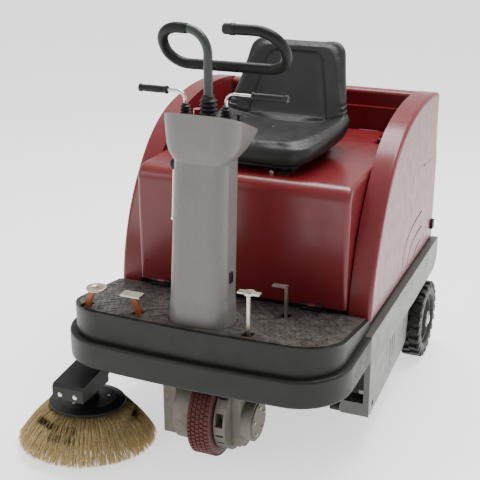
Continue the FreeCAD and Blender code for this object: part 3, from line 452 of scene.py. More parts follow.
def apply_all(obj):
    """Replaces the mesh by its evaluated one and drops the modifiers."""
    bpy.context.view_layer.update()
    deps = bpy.context.evaluated_depsgraph_get()
    mesh = bpy.data.meshes.new_from_object(obj.evaluated_get(deps))
    obj.modifiers.clear()
    old = obj.data
    obj.data = mesh
    bpy.data.meshes.remove(old)


def hex_bolt(b, centre, axis, radius, height):
    """A hexagon head with a chamfered top, on a round washer face."""
    axis, u, v = plane_of(axis)

    def level(r, h, sides):
        return b.ring(circle(centre + axis * h, u, v, r, sides))
    washer_r, washer_top = radius * 1.25, height * 0.2
    foot = level(washer_r, 0.0, 18)
    washer = level(washer_r, washer_top, 18)
    b.bridge(foot, washer)
    b.cap(washer)
    base = level(radius, washer_top, 6)
    shoulder = level(radius, height * 0.85, 6)
    top = level(radius * 0.82, height, 6)
    b.bridge(base, shoulder)
    b.bridge(shoulder, top)
    b.cap(top)


def bolt_heads(name, body, mat, radius, height, heads):
    """Bolt heads of one size as one piece; each head is a (place, axis) pair."""
    b = Builder()
    for place, axis in heads:
        hex_bolt(b, place, axis, radius, height)
    piece(b.make(name, mat, False), body)


# ---------- side broom

SIDE_TILT = 4.0             # degrees, leaning backwards
BRISTLE_ROOT_H = 0.114      # height of the bristle roots along the broom's axis, in metres
STRAND_POINTS = 6
STRAND_R = 0.00125
# Rows of tufts from the outside in: root radius, tip radius, tufts, strands in a tuft.
SIDE_ROWS = ((0.1095, 0.2135, 66, 22), (0.105, 0.206, 60, 16), (0.097, 0.192, 52, 11), (0.089, 0.174, 44, 8))


def side_frame():
    """The side broom's foot and its axis, with two vectors across it."""
    tilt = math.radians(SIDE_TILT)
    axis = Vector((0.0, math.sin(tilt), math.cos(tilt)))
    u = Vector((1.0, 0.0, 0.0))
    return at(-394, 114, 15.6), axis, u, axis.cross(u)


def strand(b, path, width, sides=3):
    """A thin bristle along a path, narrower at its tip."""
    sections = []
    for k, point in enumerate(path):
        ahead = path[min(k + 1, len(path) - 1)] - path[max(k - 1, 0)]
        ahead.normalize()
        side = ahead.orthogonal().normalized()
        w = width * (1.0 - 0.45 * k / (len(path) - 1))
        sections.append(circle(point, side, ahead.cross(side), w, sides))
    b.sweep(sections)


def side_broom():
    centre, axis, u, v = side_frame()
    b = Builder()
    for root_r, tip_r, tufts, strands in SIDE_ROWS:
        for k in range(tufts):
            base_a = 2 * math.pi * (k + 0.5 * (root_r < 0.105)) / tufts
            for _ in range(strands):
                a0 = base_a + RNG.uniform(-0.036, 0.036)
                a1 = base_a + RNG.gauss(0.0, 0.050)
                r0 = root_r + RNG.uniform(-0.003, 0.003)
                r1 = tip_r + RNG.uniform(-0.008, 0.0022)
                end_h = abs(RNG.gauss(0.0, 0.0022))
                bow = RNG.uniform(0.86, 1.1)
                path = []
                for s in range(STRAND_POINTS):
                    t = s / (STRAND_POINTS - 1)
                    grow = t ** (0.86 * bow)
                    r = r0 + (r1 - r0) * grow
                    h = end_h + (BRISTLE_ROOT_H - end_h) * (1 - t ** 1.12)
                    a = a0 + (a1 - a0) * t
                    path.append(centre + axis * h + (u * math.cos(a) + v * math.sin(a)) * r)
                strand(b, path, STRAND_R)
    bristles = b.make("side_bristle_strands", M["tan"])
    piece(bristles, "side_broom")
    # The core wears the darker bristle copy: painted shade inside the brush.
    core = lathe("side_bristle_core",
                 [(0.094, 0.1128), (0.100, 0.100), (0.113, 0.074), (0.128, 0.042), (0.138, 0.014),
                  (0.124, 0.014), (0.104, 0.050), (0.070, 0.1125)], centre, axis, M["tan_dark"], 72)
    subdivide(core)
    piece(core, "side_broom", ["side_broom_bristles"])
    rim = lathe("side_disc_rim", [(0.1135, 0.1185), (0.1172, 0.1195), (0.1178, 0.1215), (0.1172, 0.1238),
                                  (0.1135, 0.1248), (0.112, 0.1215)], centre, axis, M["dash"], 72)
    piece(rim, "side_broom")
    angles = [2 * math.pi * k / 3 + 0.4 for k in range(3)]
    bolt_heads("side_disc_bolts", "side_broom", M["steel"], 0.006, 0.006,
               [(centre + axis * 0.131 + (u * math.cos(a) + v * math.sin(a)) * 0.066, axis) for a in angles])


side_broom()


# ---------- main broom

MAIN_HALF = 0.343           # half length of the bristled part, in metres
MAIN_ROOT_R = 0.037
MAIN_TIP_R = 0.1268
MAIN_TUFTS = 46


def main_broom():
    """Rows of tufts that wind a little round the core."""
    centre = at(0, 660, 128)
    b = Builder()
    rows = 10
    for row in range(rows):
        for k in range(MAIN_TUFTS):
            x = -MAIN_HALF + 2 * MAIN_HALF * k / (MAIN_TUFTS - 1)
            base_a = 2 * math.pi * row / rows + 1.6 * x
            for _ in range(4):
                a = base_a + RNG.uniform(-0.05, 0.05)
                lean = RNG.uniform(-0.04, 0.04)
                dx = RNG.uniform(-0.005, 0.005)
                path = []
                for s in range(3):
                    r = MAIN_ROOT_R + (MAIN_TIP_R - RNG.uniform(0, 0.002) - MAIN_ROOT_R) * s / 2
                    ang = a + lean * s / 2
                    path.append(centre + Vector((x + dx * s, r * math.cos(ang), r * math.sin(ang))))
                strand(b, path, 0.0022)
    tufts = b.make("main_broom_strands", M["dark_bristle"])
    piece(tufts, "main_broom", ["main_broom_bristles"])


main_broom()


# ---------- tyres

def revolve_x(name, profile, centre, mat, steps=96):
    """profile is (x, radius) pairs of a closed outline, turned round an x axis through centre."""
    b = Builder()
    rings = []
    for x, r in profile:
        pts = []
        for k in range(steps):
            a = 2 * math.pi * k / steps
            pts.append(centre + Vector((x, r * math.cos(a), r * math.sin(a))))
        rings.append(b.ring(pts))
    for p, q in zip(rings, rings[1:] + rings[:1]):
        b.bridge(p, q)
    return b.make(name, mat)


def wheel_block(b, centre, x0, x1, a0, a1, r0, r1, skew=0.0, taper=0.10):
    """A tread block between two angles; skew slides its far end round the wheel."""
    low_pts, high_pts = [], []
    for x, shift in ((x0, 0.0), (x1, skew)):
        for a in ((a0 + shift, a1 + shift) if x == x0 else (a1 + shift, a0 + shift)):
            low_pts.append(centre + Vector((x, r0 * math.cos(a), r0 * math.sin(a))))
    mid_x = (x0 + x1) / 2
    for p in low_pts:
        d = p - centre
        a = math.atan2(d.z, d.y)
        mid = (a0 + a1) / 2 + skew * (0.0 if abs(d.x - x0) < 1e-9 else 1.0)
        diff = math.atan2(math.sin(a - mid), math.cos(a - mid))
        a = mid + diff * (1 - taper)
        x = mid_x + (d.x - mid_x) * (1 - taper)
        high_pts.append(centre + Vector((x, r1 * math.cos(a), r1 * math.sin(a))))
    b.block(low_pts + high_pts)


def front_tyre():
    """Smooth carcass with five rows of small slanted blocks."""
    centre = at(0, 221, 143.5)
    # The carcass takes the darker copy of the tyre red, painted shade between the blocks.
    tyre = revolve_x("drive_tyre_carcass",
                     [(-0.036, 0.0925), (-0.036, 0.127), (-0.034, 0.135), (-0.029, 0.1395), (0.029, 0.1395),
                      (0.034, 0.135), (0.036, 0.127), (0.036, 0.0925)], centre, M["tyre_red_shaded"])
    piece(tyre, "drive_wheel", ["front_tyre"])
    b = Builder()
    count = 60
    row_pitch, block_width, skew = 0.0136, 0.0122, 0.016
    for row in range(5):
        x0 = -0.0338 + row * row_pitch
        for k in range(count):
            a = 2 * math.pi * (k + 0.5 * (row % 2)) / count
            wheel_block(b, centre, x0, x0 + block_width, a, a + 2 * math.pi / count * 0.80, 0.1385, 0.1434,
                        skew if row % 2 else -skew, 0.12)
    tread = b.make("drive_tyre_tread", M["tyre_red"], False)
    bevel(tread, 0.0005, 1, 30)
    piece(tread, "drive_wheel")


front_tyre()


def rear_tyre(side):
    """Block-treaded tyre on the left (1) or right (-1), with the cap on its hub."""
    name = "left" if side > 0 else "right"
    lo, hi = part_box("rear_tyre_" + name)
    centre = Vector(((lo.x + hi.x) / 2, (lo.y + hi.y) / 2, (lo.z + hi.z) / 2))
    h = 0.035
    carcass = revolve_x("rear_tyre_carcass_" + name,
                        [(-h + 0.006, 0.0885), (-h, 0.096), (-h, 0.112), (-h + 0.003, 0.122),
                         (-h + 0.010, 0.128), (0, 0.1295),
                         (h - 0.010, 0.128), (h - 0.003, 0.122), (h, 0.112), (h, 0.096),
                         (h - 0.006, 0.0885)], centre, M["tyre_black"])
    piece(carcass, "rear_wheel_" + name, ["rear_tyre_" + name])
    b = Builder()
    count = 22
    step = 2 * math.pi / count
    for k in range(count):
        for x0, x1, off in ((-h + 0.0005, 0.003, 0.0), (-0.003, h - 0.0005, 0.5)):
            a = step * (k + off)
            wheel_block(b, centre, x0, x1, a, a + step * 0.5, 0.1235, 0.1388, 0.05 if off else -0.05, 0.1)
        for x0, x1, off in ((-h - 0.0002, -h + 0.009, 0.0), (h - 0.009, h + 0.0002, 0.5)):
            a = step * (k + off)
            wheel_block(b, centre, x0, x1, a, a + step * 0.46, 0.108, 0.1345, 0.0, 0.04)
    lugs = b.make("rear_tyre_lugs_" + name, M["tyre_black"], False)
    bevel(lugs, 0.0012, 2, 30)
    piece(lugs, "rear_wheel_" + name)
    cap = lathe("rear_hub_cap_" + name, [(0.0001, 0.0062), (0.010, 0.006), (0.0165, 0.0045), (0.019, 0.001),
                                         (0.019, -0.004), (0.0001, -0.004)],
                centre + Vector((side * 0.0352, 0, 0)), (side, 0, 0), M["steel"], 40, False)
    piece(cap, "rear_wheel_" + name)


rear_tyre(1)
rear_tyre(-1)


# ---------- foot deck tread pattern

def mat_height(y):
    """Height of the mat's top face: it falls by 56 over its length of 379."""
    return 489.0 - 56.0 * (y - 21.0) / 379.0 + 4.0


def nose_edge(y, half_w, front, corner):
    """Half width of the deck outline at a distance y from the bumper's front."""
    by = front + 9.0
    if y >= by + corner:
        return half_w
    d = by + corner - y
    return half_w - corner + math.sqrt(max(0.0, corner * corner - d * d))


def deck_tread():
    """Slanted lozenges all over the mat, left out round the column's foot and the pedal slots."""
    b = Builder()
    pitch = 23.0
    slots = ((-352, 92), (-186, 92), (163, 78), (192, 300))
    rows = int(380 / pitch) + 2
    for j in range(rows):
        y = 30 + pitch * j * 0.86
        for i in range(-18, 19):
            x = i * pitch + (pitch / 2 if j % 2 else 0)
            edge = nose_edge(y - 11, 404.0, 36.0, 122.0)
            if abs(x) > edge - 9 or y > 386 or y < 46:
                continue
            if abs(x) < 106 and 42 < y < 224:
                continue
            if any(abs(x - sx) < 28 and abs(y - sy + 5) < 34 for sx, sy in slots):
                continue
            if (-312 < x < -218 or 193 < x < 287) and y > 370:
                continue
            turn = math.radians(52 if (i + j) % 2 else -52)
            du = Vector((math.cos(turn), math.sin(turn), 0))
            dv = Vector((-math.sin(turn), math.cos(turn), 0))
            corners = []
            for z, sl, sw in ((-0.4, 11.0, 3.4), (1.7, 9.0, 1.5)):
                for a, c in ((-1, 0), (0, -1), (1, 0), (0, 1)):
                    p = du * (sl * a) + dv * (sw * c)
                    yy = y + p.y
                    corners.append(at(x + p.x, yy, mat_height(yy) + z))
            b.block(corners)
    tread = b.make("deck_tread_bars", M["mat"], False)
    piece(tread, "chassis")


deck_tread()


# ---------- handlebar, boots, grips

BAR_POINTS = [(0, 187, 1000), (0, 187, 1291), (-151, 191, 1293), (-148, 265, 1181),
              (204, 268, 1183), (202, 197, 1296), (62, 196, 1296)]
BAR_RADII = [66.0, 62.0, 60.0, 56.0, 74.0]


def bar_path(step=0.006):
    """The handlebar's centre line as points, with the index at which its first bend ends."""
    pts = [at(*p) for p in BAR_POINTS]
    out = [pts[0]]
    first_end = 0
    for k in range(1, len(pts) - 1):
        back = (pts[k - 1] - pts[k]).normalized()
        ahead = (pts[k + 1] - pts[k]).normalized()
        half = back.angle(ahead) / 2
        radius = BAR_RADII[k - 1] / 1000.0
        reach = radius / math.tan(half)
        start = pts[k] + back * reach
        bisect = (back + ahead).normalized()
        centre = pts[k] + bisect * (radius / math.sin(half))
        last = out[-1]
        run = max(2, int((start - last).length / step))
        for s in range(1, run + 1):
            out.append(last.lerp(start, s / run))
        sweep = math.pi - 2 * half
        e0 = (start - centre).normalized()
        e1 = (-back - e0 * (-back).dot(e0)).normalized()
        n = max(4, int(radius * sweep / step))
        for s in range(1, n + 1):
            a = sweep * s / n
            out.append(centre + (e0 * math.cos(a) + e1 * math.sin(a)) * radius)
        if k == 1:
            first_end = len(out) - 1
    last = out[-1]
    run = max(2, int((pts[-1] - last).length / step))
    for s in range(1, run + 1):
        out.append(last.lerp(pts[-1], s / run))
    return out, first_end


def tube_mesh(name, path, radii, mat, sides=28):
    """A round tube along a path, with a radius for each point."""
    b = Builder()
    side = (path[1] - path[0]).normalized().orthogonal().normalized()
    sections = []
    for k, p in enumerate(path):
        t = (path[min(k + 1, len(path) - 1)] - path[max(k - 1, 0)]).normalized()
        side = (side - t * side.dot(t)).normalized()
        sections.append(circle(p, side, t.cross(side), radii[k], sides))
    b.sweep(sections)
    return b.make(name, mat)


SLEEVE_R = 0.0147


def bar_sleeve():
    """The soft sleeve from the bar's first bend to its end, and the plug in the end."""
    path, first = bar_path()
    path = path[first - 1:]
    radii = [SLEEVE_R] * len(path)
    radii[0] = 0.0136
    radii[1] = 0.0146
    sleeve = tube_mesh("bar_sleeve", path, radii, M["foam"])
    piece(sleeve, "steering")
    cap = lathe("bar_end_plug", [(0.0002, -0.0215), (0.011, -0.0212), (0.0138, -0.019), (0.0148, -0.015),
                                 (0.0148, -0.003), (0.0162, -0.001), (0.0165, 0.006), (0.0160, 0.0125),
                                 (0.0150, 0.0135)],
                at(*BAR_POINTS[-1]), (1, 0, 0), M["dash"], 40, False)
    piece(cap, "steering", ["bar_cap"])


bar_sleeve()


def bellows(name, node, pleats, r0, r1, hole):
    """A pleated boot that fills the box of its CAD node; hole is the radius of what passes through."""
    lo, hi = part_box(node)
    z0, z1 = lo.z, hi.z
    profile = [(hole + 0.0008, z0), (r0 + 0.004, z0), (r0 + 0.0045, z0 + 0.003), (r0 - 0.003, z0 + 0.0045)]
    run = (z1 - z0) * 0.80
    steps = pleats * 8
    for k in range(1, steps + 1):
        t = k / steps
        r = r0 + (r1 - r0) * t
        wave = (1 + math.cos(2 * math.pi * t * pleats + math.pi)) / 2
        profile.append((r - 0.0055 + 0.0055 * wave ** 0.8, z0 + 0.0045 + run * t))
    top = z0 + 0.0045 + run
    profile += [(hole + 0.0045, top + 0.001), (hole + 0.004, z1 - 0.002), (hole + 0.0022, z1),
                (hole + 0.0006, z1)]
    centre = (lo + hi) / 2
    obj = lathe(name, profile, Vector((centre.x, centre.y, 0)), (0, 0, 1), M["rubber"], 56)
    piece(obj, "chassis", [node])


bellows("steering_bellows", "steering_boot", 5, 0.0262, 0.0235, 0.0129)
for side_name in ("left", "right"):
    bellows("lever_bellows_" + side_name, "lever_boot_" + side_name, 4, 0.0172, 0.0145, 0.0056)


RIB_PITCH = 0.0032


def hand_grip(side_name, sign):
    """A ribbed rubber grip on a hand lever; sign is the x direction in which it points."""
    lo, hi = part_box("grip_" + side_name)
    y = (lo.y + hi.y) / 2
    z = (lo.z + hi.z) / 2
    inner, outer = (lo.x, hi.x) if sign > 0 else (hi.x, lo.x)
    length = abs(outer - inner)
    profile = [(0.0053, 0.0), (0.0108, 0.0), (0.0114, 0.0015), (0.0114, 0.0045), (0.0100, 0.006)]
    ribs = int((length - 0.022) / RIB_PITCH)
    for k in range(ribs):
        h = 0.008 + k * RIB_PITCH
        swell = 0.0092 + 0.0005 * math.sin(math.pi * k / ribs)
        profile += [(swell + 0.0003, h), (swell + 0.0003, h + 0.0018), (swell - 0.0002, h + 0.0023),
                    (swell - 0.0002, h + 0.0029)]
    profile += [(0.0098, length - 0.010), (0.0112, length - 0.006), (0.0113, length - 0.002),
                (0.0095, length), (0.0001, length)]
    obj = lathe("hand_grip_" + side_name, profile, Vector((inner, y, z)), (sign, 0, 0), M["rubber"], 40)
    piece(obj, "lever_" + side_name, ["grip_" + side_name])


hand_grip("left", 1)
hand_grip("right", -1)


# ---------- seat

SEAT_ROWS = 110
SEAT_COLUMNS = 64
# Along the seat, from its front edge (0) to the top of the back (1), in millimetres: half width, how far the
# sides stand up, and thickness.
SEAT_LINE = [(456, 884), (540, 888), (620, 886), (700, 883), (765, 880), (804, 884), (830, 897), (845, 918),
             (854, 946), (864, 978), (880, 1022), (899, 1076), (925, 1147), (929, 1158)]
SEAT_WIDTH = [(0.0, 178.0), (0.08, 197.0), (0.16, 212.0), (0.3, 226.0), (0.42, 231.0), (0.52, 231.0),
              (0.58, 225.0), (0.63, 214.0), (0.68, 204.0), (0.74, 195.0), (0.8, 187.0), (0.9, 173.0),
              (1.0, 161.0)]
SEAT_SIDE = [(0.0, 4.0), (0.15, 10.0), (0.35, 26.0), (0.52, 46.0), (0.62, 42.0), (0.76, 20.0), (1.0, 6.0)]
SEAT_THICK = [(0.0, 66.0), (0.25, 62.0), (0.5, 58.0), (0.65, 50.0), (1.0, 44.0)]


def smooth_row(values, rounds):
    """Averages each value with its neighbours and keeps both ends."""
    values = np.array(values, float)
    for _ in range(rounds):
        values[1:-1] = (values[:-2] + 2 * values[1:-1] + values[2:]) / 4
    return values


def seat_rows(table, rounds=24):
    """One smoothed value of the table for each row of the seat."""
    at_s = np.linspace(0, 1, SEAT_ROWS + 1)
    return smooth_row(np.interp(at_s, [p[0] for p in table], [p[1] for p in table]), rounds)


def seat_line():
    """Middle line of the seat pan from its front edge to the top of the back, at even steps."""
    pts = np.array(SEAT_LINE, float)
    run = np.concatenate([[0], np.cumsum(np.hypot(*(pts[1:] - pts[:-1]).T))])
    want = np.linspace(0, run[-1], SEAT_ROWS + 1)
    y = smooth_row(np.interp(want, run, pts[:, 0]), 40)
    z = smooth_row(np.interp(want, run, pts[:, 1]), 40)
    return y, z


def seat_shell():
    """Top and bottom skins that close along the rim."""
    ns, nu = SEAT_ROWS, SEAT_COLUMNS
    b = Builder()
    top, bottom = [], []
    line_y, line_z = seat_line()
    widths, sides, thicks = seat_rows(SEAT_WIDTH), seat_rows(SEAT_SIDE), seat_rows(SEAT_THICK)
    for i in range(ns + 1):
        s = i / ns
        y, z = line_y[i], line_z[i]
        after, before = min(ns, i + 2), max(0, i - 2)
        ty, tz = line_y[after] - line_y[before], line_z[after] - line_z[before]
        norm = math.hypot(ty, tz)
        ny, nz = -tz / norm, ty / norm
        round_end = min(1.0, min(s / 0.055, (1 - s) / 0.07))
        edge_end = max(0.0, 1 - (1 - round_end) ** 2.8) ** 0.38
        run_in = min(1.0, min(s / 0.10, (1 - s) / 0.065))
        width = widths[i] - 42 * (1 - math.sqrt(max(0.0, 1 - (1 - run_in) ** 2)))
        up_row, down_row = [], []
        for j in range(nu + 1):
            u = -1 + 2 * j / nu
            u = math.sin(u * math.pi / 2) * 0.4 + u * 0.6
            edge = (1 - abs(u) ** 12) ** 0.42 * edge_end
            rise = sides[i] * max(0.0, (abs(u) - 0.46) / 0.54) ** 1.7 - 8.0 * (1 - u * u)
            half = thicks[i] / 2
            up = rise + half * edge
            under = 0.6 + 0.4 * max(abs(u) ** 6, 1.0 - edge_end)
            down = rise * under - half * edge
            x = width * u
            up_row.append(at(x, y + ny * up, z + nz * up))
            down_row.append(at(x, y + ny * down, z + nz * down))
        top.append(b.ring(up_row))
        bottom.append(b.ring(down_row))
    for i in range(ns):
        for j in range(nu):
            b.faces.append((top[i][j], top[i][j + 1], top[i + 1][j + 1], top[i + 1][j]))
            b.faces.append((bottom[i][j], bottom[i + 1][j], bottom[i + 1][j + 1], bottom[i][j + 1]))
    seat = b.make("pan_seat", M["vinyl"])
    bm = bmesh.new()
    bm.from_mesh(seat.data)
    bmesh.ops.remove_doubles(bm, verts=bm.verts, dist=0.0004)
    bmesh.ops.recalc_face_normals(bm, faces=bm.faces)
    bm.to_mesh(seat.data)
    bm.free()
    return seat


DRAIN_Y = 690               # the drain hole's place along the seat
PANEL_TOP = 1118            # top edge of the panel pressed into the backrest
PANEL_CORNER = 24
CLOTH_FRAMES = 20


def soften(obj, voxel, pressure, cap):
    """Fills the skin like foam under vinyl: remesh, inflate with cloth, limit the movement, keep the result."""
    mod = obj.modifiers.new("remesh", "REMESH")
    mod.mode = "VOXEL"
    mod.voxel_size = voxel
    mod.use_smooth_shade = True
    apply_all(obj)
    rest = np.array([v.co for v in obj.data.vertices], float)
    cloth = obj.modifiers.new("cloth", "CLOTH")
    settings = cloth.settings
    settings.use_pressure = True
    settings.uniform_pressure_force = pressure
    settings.effector_weights.gravity = 0.0
    settings.quality = 5
    scene = bpy.context.scene
    scene.frame_start = 1
    scene.frame_end = CLOTH_FRAMES
    for k in range(1, CLOTH_FRAMES + 1):
        scene.frame_set(k)
    deps = bpy.context.evaluated_depsgraph_get()
    moved = np.array([v.co for v in obj.evaluated_get(deps).to_mesh().vertices], float)
    obj.modifiers.remove(cloth)
    scene.frame_set(1)
    if moved.shape != rest.shape or not np.isfinite(moved).all():
        return obj
    step = moved - rest
    size = np.linalg.norm(step, axis=1)
    step *= np.minimum(1.0, cap / np.maximum(size, 1e-9))[:, None]
    obj.data.vertices.foreach_set("co", (rest + step).ravel())
    obj.data.update()
    return obj


def seat():
    shell = seat_shell()
    soften(shell, 0.006, 3.0, 0.007)
    smooth = shell.modifiers.new("smooth", "SMOOTH")
    smooth.factor = 0.5
    smooth.iterations = 3
    apply_all(shell)
    subdivide(shell)
    groove(shell)
    for poly in shell.data.polygons:
        poly.use_smooth = True
    dress(shell, M["vinyl"])
    piece(shell, "seat", ["seat_cushion", "seat_backrest"])
    drain = lathe("seat_drain", [(0.0001, 0.0), (0.0052, 0.0002), (0.0060, 0.0012), (0.0070, 0.0022),
                                 (0.0082, 0.0022), (0.0092, 0.0010), (0.0096, -0.004), (0.0001, -0.0045)],
                  at(0, DRAIN_Y, 904.5), (0, 0, 1), M["dash"], 36)
    piece(drain, "seat")


def groove(obj):
    """Presses the backrest's panel line, the folds at the bend and the drain hole into the skin."""
    co = np.array([v.co for v in obj.data.vertices], float)
    normal = np.array([v.normal for v in obj.data.vertices], float)
    x = (co[:, 0] - CENTRE_X) * 1000
    y = (co[:, 1] - FRONT_Y) * 1000
    z = co[:, 2] * 1000
    front = 1.0 / (1.0 + np.exp((normal[:, 1] + 0.2) * 14)) * (z > 925)
    half = 90 + 42 * np.clip((PANEL_TOP - z) / 190.0, 0, 1.2)
    qx = np.abs(x) - (half - PANEL_CORNER)
    qz = z - (PANEL_TOP - PANEL_CORNER)
    dist = np.hypot(np.maximum(qx, 0), np.maximum(qz, 0)) + np.minimum(np.maximum(qx, qz), 0) - PANEL_CORNER
    press = 4.0 * np.exp(-(dist / 3.2) ** 2) * front
    press = press + 3.2 / (1.0 + np.exp(np.clip(dist / 2.2, -40, 40))) * front
    upper = 1.0 / (1.0 + np.exp(-(normal[:, 2] * 0.6 - normal[:, 1] * 0.8) * 12))
    bend = z - (908 + 34 * (x / 200.0) ** 2)
    press = press + 8.0 * np.exp(-(bend / 4.0) ** 2) * (np.abs(x) < 225) * upper * (y > 780)
    side = np.clip((np.abs(x) - 168) / 30.0, 0, 1)
    for level in (14.0, 30.0):
        press = press + 5.5 * np.exp(-((bend - level) / 3.6) ** 2) * side * upper * (y > 760)
    hole = np.hypot(x, y - DRAIN_Y)
    press = press + 9.0 * np.exp(-(hole / 5.2) ** 4) * (normal[:, 2] > 0.3)
    co -= normal * (press / 1000.0)[:, None]
    obj.data.vertices.foreach_set("co", co.ravel())
    obj.data.update()


seat()


# ---------- fasteners and small trim

def small_parts():
    """Bolt heads, and the latches of the side covers."""
    bolt_heads("side_arm_bolts", "side_arm", M["chrome"], 0.0058, 0.0042,
               [(at(x, -4.8, 216), (0, -1, 0)) for x in (-409.0, -358.0)])
    b = Builder()
    hex_bolt(b, at(-150, 221, 143.5), (-1, 0, 0), 0.014, 0.010)
    for k in range(5):
        a = 2 * math.pi * k / 5 + 0.3
        hex_bolt(b, at(141, 221 + 42 * math.cos(a), 128 + 42 * math.sin(a)), (1, 0, 0), 0.005, 0.004)
    for x, s in ((-150.0, -1), (104.0, 1)):
        for y in (180.0, 262.0):
            hex_bolt(b, at(x, y, 262), (s, 0, 0), 0.0075, 0.006)
    for x in (-128.0, 90.0):
        hex_bolt(b, at(x, 163, 240), (0, -1, 0), 0.0065, 0.005)
    piece(b.make("fork_bolts", M["steel"], False), "steering")
    bolt_heads("drum_bolts", "drive_wheel", M["steel"], 0.0055, 0.004,
               [(at(-96, 221 + 74 * math.cos(a), 143.5 + 74 * math.sin(a)), (-1, 0, 0))
                for a in [math.pi * k / 3 for k in range(6)]])
    bolt_heads("seat_rail_bolts", "hood", M["steel"], 0.006, 0.005,
               [(at(x, 475, 828), (0, -1, 0)) for x in (-96.0, 76.0)])
    for side in (-1, 1):
        b = Builder()
        x = side * 419.0
        corners = []
        for z in (452, 484):
            for y, dx in ((1196, 0), (1226, 0), (1226, 9), (1196, 9)):
                corners.append(at(x + side * (dx - 0.4), y, z))
        b.block(corners)
        latch = b.make("cover_latch_" + ("left" if side > 0 else "right"), M["dash"], False)
        bevel(latch, 0.0025, 3)
        piece(latch, "chassis")
    bolt_heads("hopper_bolts", "hopper", M["steel"], 0.006, 0.004,
               [(at(x, 1222, z), (0, 1, 0)) for x in (-250.0, 250.0) for z in (300.0, 600.0)])


small_parts()


def flaps():
    """Rubber dust flaps cut into strips that splay a little."""
    b = Builder()
    for y, x_half, z0, z1, lean in ((500.5, 366, 78, 160, -1), (886.5, 340, 8, 130, 1)):
        n = 14
        w = 2 * x_half / n
        for k in range(n):
            x0 = -x_half + k * w + 0.6
            x1 = x0 + w - 1.2
            bend = RNG.uniform(0.0, 3.0) * lean
            rings = []
            for s in range(6):
                t = s / 5.0
                z = z1 + (z0 - z1) * t
                d = bend * t * t
                rings.append(b.ring([at(x0, y - 1.8 + d, z), at(x1, y - 1.8 + d, z),
                                     at(x1, y + 1.8 + d, z), at(x0, y + 1.8 + d, z)]))
            for p, q in zip(rings[:-1], rings[1:]):
                b.bridge(p, q)
            b.cap(list(reversed(rings[0])))
            b.cap(rings[-1])
    obj = b.make("dust_flap_strips", M["rubber"], False)
    piece(obj, "chassis", ["dust_flaps"])


flaps()


def pedal_plates():
    """A round plate on the broom pedal and a ribbed square one on the flap pedal."""
    disc = lathe("broom_pedal_plate", [(0.0068, 0.5432), (0.0285, 0.5432), (0.0306, 0.5420),
                                       (0.0306, 0.5375), (0.0285, 0.5368), (0.0068, 0.5368)],
                 at(-318, 86, 0), (0, 0, 1), M["steel"], 48)
    piece(disc, "pedal_broom")
    b = Builder()
    corners = []
    for z in (537.4, 542.8):
        for x, y in ((-231, 65), (-169, 65), (-169, 101), (-231, 101)):
            corners.append(at(x, y, z))
    b.block(corners)
    for k in range(5):
        rib = []
        for z, g in ((542.4, 0.0), (543.8, 0.8)):
            y0, y1 = 70 + 6.5 * k, 73 + 6.5 * k
            for x, y in ((-226, y0), (-174, y0), (-174, y1), (-226, y1)):
                rib.append(at(x + g * (1 if x < -200 else -1), y, z))
        b.block(rib)
    plate = b.make("flap_pedal_plate", M["steel"], False)
    bevel(plate, 0.0006, 2)
    piece(plate, "pedal_flap")


pedal_plates()


def brake_lever():
    """Parking-brake handle: a black knob on the column and a hanging two-tined plated lever."""
    knob = lathe("brake_knob", [(0.0001, 0.0), (0.0065, 0.0), (0.0065, 0.014), (0.0135, 0.0145),
                                (0.0158, 0.018), (0.0158, 0.032),
                                (0.0130, 0.0365), (0.0070, 0.0382), (0.0001, 0.0385)],
                 at(-74, 180, 915), (-1, 0, 0), M["dash"], 40, False)
    piece(knob, "brake_handle", ["brake_handle"])
    b = Builder()
    for side in (-1, 1):
        sections = []
        for k in range(13):
            t = k / 12.0
            x = -104.5 - 3.5 * t
            y = 180 + side * (2.5 + 6.5 * t)
            z = 906 - 150 * t
            sections.append([at(x - 2.0, y - 2.2, z), at(x + 2.0, y - 2.2, z), at(x + 2.0, y + 2.2, z),
                             at(x - 2.0, y + 2.2, z)])
        b.sweep(sections)
    foot = []
    for z, g in ((752.0, 1.0), (760.0, 0.0)):
        for x, y in ((-112, 168), (-101, 168), (-101, 192), (-112, 192)):
            foot.append(at(x, y + (g if y < 180 else -g), z))
    b.block(foot)
    tines = b.make("brake_tines", M["chrome"], False)
    bevel(tines, 0.0007, 2)
    piece(tines, "brake_handle")


brake_lever()


SEAM_ROUTE = [(1018, 738.5), (1060, 735), (1120, 729), (1180, 721), (1214, 716)]


def cover_seams():
    """The raised seam near the top of each side cover's outer face."""
    foot, crest = 0.0026, 0.0014        # half widths, in metres
    for side in (-1, 1):
        sink, rise = Vector((side * 0.0008, 0, 0)), Vector((side * 0.0011, 0, 0))
        sections = []
        for k, (y, z) in enumerate(SEAM_ROUTE):
            next_y, next_z = SEAM_ROUTE[min(k + 1, len(SEAM_ROUTE) - 1)]
            last_y, last_z = SEAM_ROUTE[max(k - 1, 0)]
            ahead = Vector((0, next_y - last_y, next_z - last_z)).normalized()
            up = Vector((0, -ahead.z, ahead.y))
            mid = at(side * 419.0, y, z)
            sections.append([mid + up * foot - sink, mid + up * crest + rise,
                             mid - up * crest + rise, mid - up * foot - sink])
        b = Builder()
        b.sweep(sections)
        seam = b.make("cover_seam_" + ("left" if side > 0 else "right"), M["red"])
        piece(seam, "chassis")


cover_seams()


